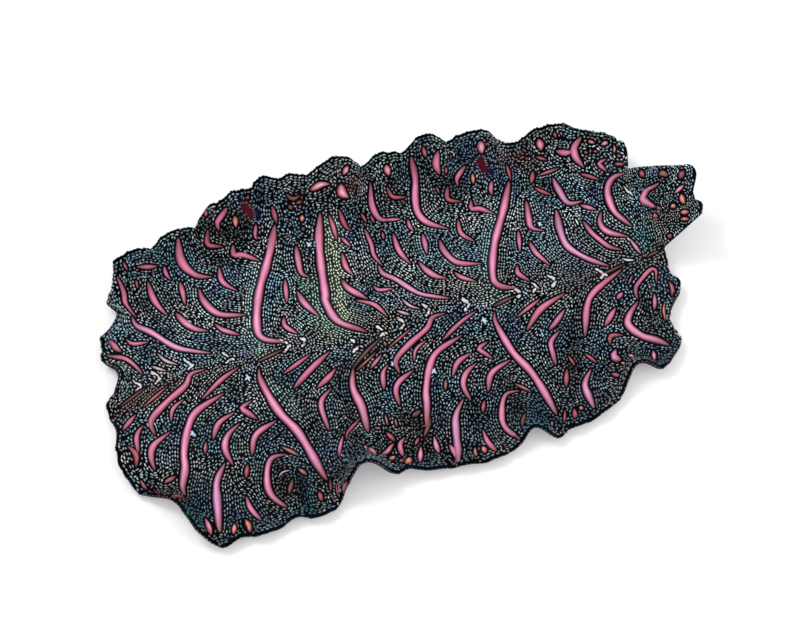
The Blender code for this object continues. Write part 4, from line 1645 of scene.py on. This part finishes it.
        # Painted side light: a flank facing down and right in the camera's view is tinted warm, one facing up
        # and left cool, and both get lighter rims the more they face that way.
        right, up, _ = self.camera.axes
        lower = np.clip(spine.side @ (right - up) / math.sqrt(2.0), -1.0, 1.0)[:, None]
        strength = flank.sum() / linear(self.flank_level).sum()
        plain = mark.hue in (Hue.WHITE, Hue.PAINTED_GLINT)
        rows = []
        for k in self.section:
            turned = lower * np.sign(k)
            painted_side_tint = np.where(turned > 0, linear(self.painted_warm_side), linear(self.painted_cool_side)) * strength
            share = self.painted_side_share * np.abs(turned) * (not plain)
            outer = blend(flank, painted_side_tint, share)
            hue = blend(core, outer, min(abs(k) / self.flank_at, 1.0) ** self.flank_power)
            rim = edge * (self.edge_level + self.painted_side_rim * share)
            hue = blend(hue, rim, ramp(abs(k), self.edge_start, self.edge_reach))
            hue = blend(hue, tip * (1.0 - self.tip_dim * abs(k)), at_tip)
            rows.append(hue * (self.rim_level if abs(k) == 1.0 else 1.0))
        rows += [rows[self.section.index(k)] * self.rim_level for k in self.beneath]
        return np.concatenate(rows)

    def welt(self, mark: Mark) -> tuple[np.ndarray, list[tuple[int, ...]], np.ndarray, np.ndarray]:
        """Shape one mark.

        Args:
            mark: The mark.

        Returns:
            Its corners, faces, colours and map places.
        """
        spine = Spine.on(self.form, self.smooth(self.locate(mark.line)))
        half = self.half_widths(mark, spine)
        self.samples.append(np.concatenate([spine.middle, half[:, None]], -1))
        height = self.height * np.clip(half / self.full_half, 0.0, self.highest)
        lift = [height * (1 - k * k) ** self.section_round - self.sunk for k in self.section]
        lift += [np.full(len(half), -self.root)] * len(self.beneath)
        offsets = self.section + self.beneath
        rings, size = len(half), len(offsets)
        moved = np.concatenate([spine.side * (half * k)[:, None] for k in offsets])
        places = self.shifted(np.tile(spine.line, (size, 1)), moved)
        base = self.form.place(places[:, 0], places[:, 1], 1.0)
        points = base + np.tile(spine.out, (size, 1)) * np.concatenate(lift)[:, None]
        order = np.arange(rings * size).reshape(size, rings).T
        faces = []
        for ring, ahead in zip(order[:-1], order[1:]):
            faces += zip(ring, ahead, np.roll(ahead, -1), np.roll(ring, -1))
        faces += [tuple(order[0]), tuple(order[-1][::-1])]
        return points, faces, self.colours(mark, spine), self.form.unwrap(places[:, 0], places[:, 1], False)

    def build(self) -> list[bpy.types.Object]:
        """Make the welts, one piece for each region of the back.

        Returns:
            The pieces.
        """
        self.tree = self.skin.caster()
        self.seen = self.camera.project(self.skin.top)
        material = self.finish.build()
        regions = {
            "stripes_left_rear": LEFT_REPEATED + LEFT_REAR,
            "stripes_left_middle": repeated(LEFT_REPEATED) + LEFT_MIDDLE,
            "stripes_left_front": LEFT_FRONT,
            "stripes_head": HEAD_MARKS,
            "stripes_right_rear": RIGHT_REPEATED + RIGHT_REAR,
            "stripes_right_middle": repeated(RIGHT_REPEATED) + RIGHT_MIDDLE,
            "stripes_right_front": RIGHT_FRONT,
            # The midline's splashes and creases share a piece with the painted glints.
            "midline_marks_and_painted_glints": Splashes().marks() + CREASES + PaintedGlints().marks(),
        }
        made = []
        for name, marks in regions.items():
            points, faces, colours, maps, count = [], [], [], [], 0
            for mark in marks:
                p, f, c, m = self.welt(mark)
                faces += [tuple(int(n) + count for n in face) for face in f]
                points.append(p)
                colours.append(c)
                maps.append(m)
                count += len(p)
            piece = new_mesh_object(name, np.concatenate(points), faces, material)
            paint(piece, np.concatenate(colours))
            set_map(piece, np.concatenate(maps)[face_corners(piece)])
            made.append(piece)
            log.info("%s: %d marks, %d faces", name, len(marks), len(faces))
        return made


@dataclass
class Grains:
    """The pale grains: thousands of tiny raised beads in rows that follow the stripes.

    Lengths are in millimetres. tries is how many places are thrown over the sheet before those that lie
    too near another are dropped. Each ring of a grain has its reach, its height and its brightness as
    shares. The streak and the patch are painted light and shade in bands and patches: each gives the
    least brightness and how much its waves add. The grains are dimmed toward the right side and the
    margins as painted shade.
    """

    form: SheetForm
    stripes: Stripes
    stains_and_shade: StainAndShadeMap
    seed: int = 7
    tries: int = 300000
    head_tries: float = 0.07
    row_gap: float = 0.32
    along_gap: float = 0.48
    across_share: float = 0.84
    clear: float = 0.31
    clear_share: float = 0.8
    on_row: float = 0.05
    edge_row: float = 0.14
    edge_clear: float = 0.12
    edge_points: int = 500
    search_cell: float = 0.62
    length: float = 0.47
    width: float = 0.2
    height: float = 0.08
    stray_turn: float = 0.2
    length_spread: tuple[float, float] = (0.7, 1.15)
    width_spread: tuple[float, float] = (0.8, 1.15)
    height_spread: tuple[float, float] = (0.7, 1.2)
    sides: int = 6
    rings: tuple[tuple[float, float, float], ...] = ((1.0, -0.25, 0.35), (0.78, 1.0, 1.0))
    rim_gap: float = 0.52
    rim_points: int = 4000
    rim_head_points: int = 400
    rim_height: float = 0.6
    rim_inner: float = 0.985
    rim_tilt: float = 0.45
    rim_scale: float = 0.72
    rim_level: float = 0.5
    margin_more: float = 0.16
    margin_reach: float = 4.5
    middle_less: float = 0.14
    middle_reach: float = 2.2
    head_less: float = 0.26
    head_start: float = 0.94
    head_reach: float = 0.12
    shades: tuple[Shade, ...] = (
        (250, 255, 255), (240, 254, 255), (224, 250, 255), (202, 244, 248), (180, 230, 240), (172, 208, 246),
    )
    shade_waves: tuple[Wave, ...] = (Wave(0.28, 0.31, 0.5, start=1.0), Wave(0.22, 0.83, -0.61))
    shade_spread: float = 0.22
    painted_light_streak_waves: tuple[Wave, ...] = (Wave(0.3, 1.7, 1.1, bend=2.0, bend_y=0.4), Wave(0.2, 0.9, -2.3))
    painted_light_streak: tuple[float, float] = (0.72, 0.34)
    painted_light_patch_waves: tuple[Wave, ...] = (
        Wave(0.3, 0.62, -0.35, start=1.3, bend=1.0, bend_y=0.5), Wave(0.2, 0.27, 0.95),
    )
    painted_light_patch: tuple[float, float] = (0.72, 0.48)
    levels: tuple[float, float] = (0.34, 0.98)
    bright_level: float = 1.05
    bright_from: float = 0.94
    right_painted_shade: float = 0.28
    right_reach: float = 8.0
    margin_painted_shade: float = 0.3
    margin_painted_shade_start: float = 12.0
    margin_painted_shade_reach: float = 8.0
    ridge_colour: Shade = (200, 182, 166)
    ridge_reach: float = 1.6
    ridge_share: float = 0.5
    stain_or_shade_lightness: float = 1.3
    map_size: float = 0.0015
    stretches: int = 4
    finish: Finish = GRAIN_FINISH
    lines: np.ndarray = field(init=False)
    tree: KDTree = field(init=False)

    def guides(self) -> np.ndarray:
        """The lines that the rows follow: every stripe, the middle line and the margin.

        Returns:
            Points along them, each with the half-width of its line.
        """
        middle = self.stripes.smooth(self.stripes.locate(MIDLINE))
        ends = np.linspace(-1, 1, self.edge_points)
        lines = [(middle[:, 0], middle[:, 1], -self.clear)]
        edges = ((ends, -1.0), (ends, 1.0), (-1.0, ends), (1.0, ends))
        lines += [(u, v, self.edge_row - self.clear) for u, v in edges]
        rows = list(self.stripes.samples)
        for u, v, half in lines:
            points = self.form.place(u, v, 1.0)
            rows.append(np.concatenate([points, np.full((len(points), 1), half)], -1))
        return np.concatenate(rows)

    def nearest(self, points: np.ndarray, tried: int = 4) -> tuple[np.ndarray, np.ndarray, np.ndarray]:
        """Measure how far places lie from the nearest line.

        Args:
            points: Places on the back.
            tried: How many of the lines' nearest points are compared, since the lines differ in width.

        Returns:
            The distance from the line's edge, the way from its middle and the number of its nearest point.
        """
        chosen = np.zeros(len(points), int)
        halves = self.lines[:, 3].tolist()
        for k, point in enumerate(points.tolist()):
            best = math.inf
            for _, n, far in self.tree.find_n(point, tried):
                if far - halves[n] < best:
                    best, chosen[k] = far - halves[n], n
        near = self.lines[chosen]
        away = points - near[:, :3]
        far = np.linalg.norm(away, axis=-1)
        return far - near[:, 3], away / np.maximum(far, 1e-6)[:, None], chosen

    def tried_places(self) -> tuple[np.ndarray, np.random.Generator]:
        """Throw places over the sheet at random.

        Returns:
            u and v of each, and the source of the random numbers.
        """
        draw = np.random.default_rng(self.seed)
        low, high = self.form.head_right_v, self.form.head_left_v
        heads = int(self.tries * self.head_tries * (high - low))
        u = np.concatenate([draw.uniform(-1, 1, self.tries), draw.uniform(1, 2, heads)])
        v = np.concatenate([draw.uniform(-1, 1, self.tries), draw.uniform(low, high, heads)])
        return np.stack([u, v], -1), draw

    def scatter(self) -> tuple[np.ndarray, np.ndarray, np.ndarray]:
        """Choose the grains' places, in rows at even distances from the lines.

        Returns:
            u and v of each, its place and the direction of its row.
        """
        form, self.lines = self.form, self.guides()
        self.tree = KDTree(len(self.lines))
        for k, line in enumerate(self.lines.tolist()):
            self.tree.insert(line[:3], k)
        self.tree.balance()
        places, draw = self.tried_places()
        gap, way, _ = self.nearest(form.place(places[:, 0], places[:, 1], 1.0))
        places = self.stripes.shifted(places, way * (self.row_of(gap) - gap)[:, None])
        points = form.place(places[:, 0], places[:, 1], 1.0)
        gap, way, line = self.nearest(points)
        keep = (gap > self.clear * self.clear_share) & self.stains_and_shade.grows(points)
        keep &= form.edge_distance(places[:, 0], places[:, 1]) > self.edge_clear
        places, points, gap, way, line = (part[keep] for part in (places, points, gap, way, line))
        ahead = unit(np.cross(form.normal(places[:, 0], places[:, 1]), way))
        following = self.lines[np.minimum(line + 1, len(self.lines) - 1), :3] - self.lines[line, :3]
        side = np.cross(following, way)[:, 2] > 0
        stray = np.abs(gap - self.row_of(gap)) > self.on_row
        row = np.round((gap - self.clear) / self.row_gap)
        # Places on a row are tried first, row by row, and the strays last in a random order.
        late = draw.uniform(size=len(gap)) * stray
        order = np.lexsort((late, line * ~stray, row * ~stray, side * ~stray, stray))
        chosen = order[self.thin(points[order], ahead[order], self.scale_at(places[order]))]
        return places[chosen], points[chosen], ahead[chosen]

    def rim(self) -> tuple[np.ndarray, np.ndarray, np.ndarray, np.ndarray]:
        """Set one row of grains round the free edge of the sheet itself.

        Returns:
            u and v of each, its place, the row's direction there and the way straight out of the edge.
        """
        form, low, high = self.form, self.form.head_right_v, self.form.head_left_v
        body = np.linspace(-1, 1, self.rim_points)
        forward = np.linspace(1, 2, self.rim_head_points)
        edges = [(body, -1.0), (body, 1.0), (-1.0, body), (1.0, body[body < low]), (1.0, body[body > high])]
        edges += [(forward, low), (forward, high), (2.0, np.linspace(low, high, self.rim_head_points))]
        found = []
        for u, v in edges:
            u, v = np.broadcast_arrays(u, v)
            length = run_along(form.place(u, v, 0.5))
            marks = np.arange(self.rim_gap / 2, length[-1], self.rim_gap)
            u, v = np.interp(marks, length, u), np.interp(marks, length, v)
            points = form.place(u, v, self.rim_height)
            ahead, up = unit(np.gradient(points, axis=0)), form.normal(u, v)
            inner = form.place(u * self.rim_inner, v * self.rim_inner, self.rim_height)
            out = np.cross(ahead, up)
            out = out * np.sign(((points - inner) * out).sum(-1))[:, None]
            tilted = (out + self.rim_tilt * up) / math.hypot(1.0, self.rim_tilt)
            found.append((np.stack([u, v], -1), points, ahead, tilted))
        return tuple(np.concatenate(part) for part in zip(*found))

    def row_of(self, gap: np.ndarray) -> np.ndarray:
        """The distance of the nearest row from its line."""
        return self.clear + self.row_gap * np.maximum(np.round((gap - self.clear) / self.row_gap), 0.0)

    def scale_at(self, places: np.ndarray) -> np.ndarray:
        """How large the grains are: larger at the margin, finer at the middle line and on the head.

        Args:
            places: u and v of each.

        Returns:
            One scale for each.
        """
        u, v = places.T
        margin = self.margin_more * np.clip(1.0 - self.form.edge_distance(u, v) / self.margin_reach, 0.0, 1.0)
        middle = self.middle_less * np.exp(-((v * self.form.half_width / self.middle_reach) ** 2))
        head = self.head_less * ramp(u, self.head_start, self.head_reach)
        return 1.0 + margin - middle - head

    def thin(self, points: np.ndarray, ahead: np.ndarray, scale: np.ndarray) -> np.ndarray:
        """Drop the places that lie too near one kept before, measured longer along the row than across.

        Args:
            points: The places, in the order in which they are tried.
            ahead: The row's direction at each.
            scale: The grains' scale at each.

        Returns:
            The numbers of the kept places.
        """
        cells: dict[tuple[int, int], list[tuple[float, float, float]]] = {}
        kept: list[int] = []
        keys = np.floor(points[:, :2] / self.search_cell).astype(int).tolist()
        flat, ways, sizes = points.tolist(), ahead.tolist(), (scale**2).tolist()
        long, wide = 1 / self.along_gap**2, 1 / (self.row_gap * self.across_share) ** 2
        around = [(i, j) for i in (-1, 0, 1) for j in (-1, 0, 1)]
        for k, (i, j) in enumerate(keys):
            (x, y, z), (ax, ay, az) = flat[k], ways[k]
            for px, py, pz in (place for di, dj in around for place in cells.get((i + di, j + dj), ())):
                dx, dy, dz = px - x, py - y, pz - z
                along = dx * ax + dy * ay + dz * az
                total = dx * dx + dy * dy + dz * dz - along * along
                if along * along * long + total * wide < sizes[k]:
                    break
            else:
                kept.append(k)
                cells.setdefault((i, j), []).append((x, y, z))
        return np.array(kept)

    def colours_at(self, places: np.ndarray, points: np.ndarray) -> np.ndarray:
        """Choose the grains' colours: white, mint and blue, browner along the middle line, with painted light
        and shade in streaks and patches and painted shade toward the right side and the margins.

        Args:
            places: u and v of each.
            points: The place of each.

        Returns:
            A linear colour for each.
        """
        draw = np.random.default_rng(self.seed + 2)
        count, kinds = len(points), len(self.shades)
        picked = drift(self.shade_waves, points) + draw.normal(0.0, self.shade_spread, count)
        picked = np.clip((picked * kinds).astype(int), 0, kinds - 1)
        tint = np.array([linear(shade) for shade in self.shades])[picked]
        # Painted light and shade: slow streaks and patches make the grains brighter and dimmer.
        (painted_light_streak, more_painted_light_streak), (painted_light_patch, more_painted_light_patch) = self.painted_light_streak, self.painted_light_patch
        tone_and_painted_light = draw.uniform(*self.levels, count) * (painted_light_streak + more_painted_light_streak * drift(self.painted_light_streak_waves, points))
        tone_and_painted_light = tone_and_painted_light * (painted_light_patch + more_painted_light_patch * drift(self.painted_light_patch_waves, points))
        bright = draw.uniform(size=count) > self.bright_from
        tint = tint * np.where(bright, self.bright_level, tone_and_painted_light)[:, None]
        across = places[:, 1] * self.form.half_width
        # Painted shade: the grains are dimmed toward the animal's right margin and toward both margins.
        painted_shade = self.right_painted_shade * ramp(-across, 0.0, self.right_reach)
        painted_shade = painted_shade + self.margin_painted_shade * ramp(np.abs(across), self.margin_painted_shade_start, self.margin_painted_shade_reach)
        ridge = self.ridge_share * np.exp(-((across / self.ridge_reach) ** 2))[:, None]
        tint = blend(tint * (1.0 - painted_shade)[:, None], linear(self.ridge_colour), ridge)
        # The stains and the painted shade tint the grains too.
        return self.stains_and_shade.tint(tint, points, self.stain_or_shade_lightness)

    def shapes(self) -> tuple[np.ndarray, np.ndarray, np.ndarray, np.ndarray]:
        """Shape every grain as two rings of corners, the lower one sunk into the skin.

        Returns:
            The corners, colours and map places of each grain, and its place along the body.
        """
        places, points, ahead = self.scatter()
        out = self.form.normal(places[:, 0], places[:, 1])
        rim = self.rim()
        places, points, ahead, out = (np.concatenate(pair) for pair in zip((places, points, ahead, out), rim))
        draw, count, rim_count = np.random.default_rng(self.seed + 1), len(points), len(rim[0])
        scale = self.scale_at(places)
        scale[-rim_count:] *= self.rim_scale
        side = np.cross(out, ahead)
        turn = draw.normal(0.0, self.stray_turn, count)[:, None]
        ahead, side = ahead * np.cos(turn) + side * np.sin(turn), side * np.cos(turn) - ahead * np.sin(turn)
        half_length = self.length / 2 * scale * draw.uniform(*self.length_spread, count)
        half_width = self.width / 2 * scale * draw.uniform(*self.width_spread, count)
        height = self.height * draw.uniform(*self.height_spread, count) * scale
        tint = self.colours_at(places, points)
        tint[-rim_count:] *= self.rim_level
        root = self.form.unwrap(places[:, 0], places[:, 1], False)
        corners, colours, maps = [], [], []
        for reach, rise, glow in self.rings:
            for a in np.linspace(0, 2 * math.pi, self.sides, endpoint=False):
                offset = ahead * (half_length * reach * math.cos(a))[:, None]
                offset = offset + side * (half_width * reach * math.sin(a))[:, None]
                corners.append(points + offset + out * (height * rise)[:, None])
                colours.append(tint * glow)
                maps.append(root + self.map_size * reach * np.array([math.cos(a), math.sin(a)]))
        corners, colours, maps = (np.stack(part, 1) for part in (corners, colours, maps))
        return corners, colours, maps, places[:, 0]

    def build(self) -> list[bpy.types.Object]:
        """Make the grains, one piece for each stretch of the body.

        Returns:
            The pieces.
        """
        corners, colours, maps, along = self.shapes()
        sides = self.sides
        pattern = [tuple(range(sides))[::-1], tuple(range(sides, 2 * sides))]
        for k in range(sides):
            n = (k + 1) % sides
            pattern.append((k, n, sides + n, sides + k))
        material = self.finish.build()
        bounds = np.quantile(along, np.linspace(0, 1, self.stretches + 1))
        stretch = np.clip(np.searchsorted(bounds, along, side="right") - 1, 0, self.stretches - 1)
        made = []
        for number in range(self.stretches):
            chosen = np.nonzero(stretch == number)[0]
            faces = [tuple(n + 2 * sides * k for n in face) for k in range(len(chosen)) for face in pattern]
            piece = new_mesh_object(f"grains_{number + 1}", corners[chosen].reshape(-1, 3), faces, material)
            paint(piece, colours[chosen].reshape(-1, 3))
            set_map(piece, maps[chosen].reshape(-1, 2)[face_corners(piece)])
            made.append(piece)
            log.info("%s: %d grains", piece.name, len(chosen))
        return made


def main() -> None:
    """Build the camera, the surroundings and the dressed animal, and report each piece."""
    logging.basicConfig(level=logging.INFO, format="%(asctime)s %(name)s: %(message)s")
    camera, form = PhotoCamera(), SheetForm()
    camera.build()
    Backdrop().build()
    stains_and_shade = StainAndShadeMap(camera)
    skin = Skin(form, stains_and_shade)
    pieces = [skin.build()]
    stripes = Stripes(form, skin, camera)
    pieces += stripes.build()
    pieces += Grains(form, stripes, stains_and_shade).build()
    for piece in pieces:
        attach(piece, "root")
        log.info("%s: %d faces", piece.name, len(piece.data.polygons))
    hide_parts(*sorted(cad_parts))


if __name__ == "__main__":
    main()
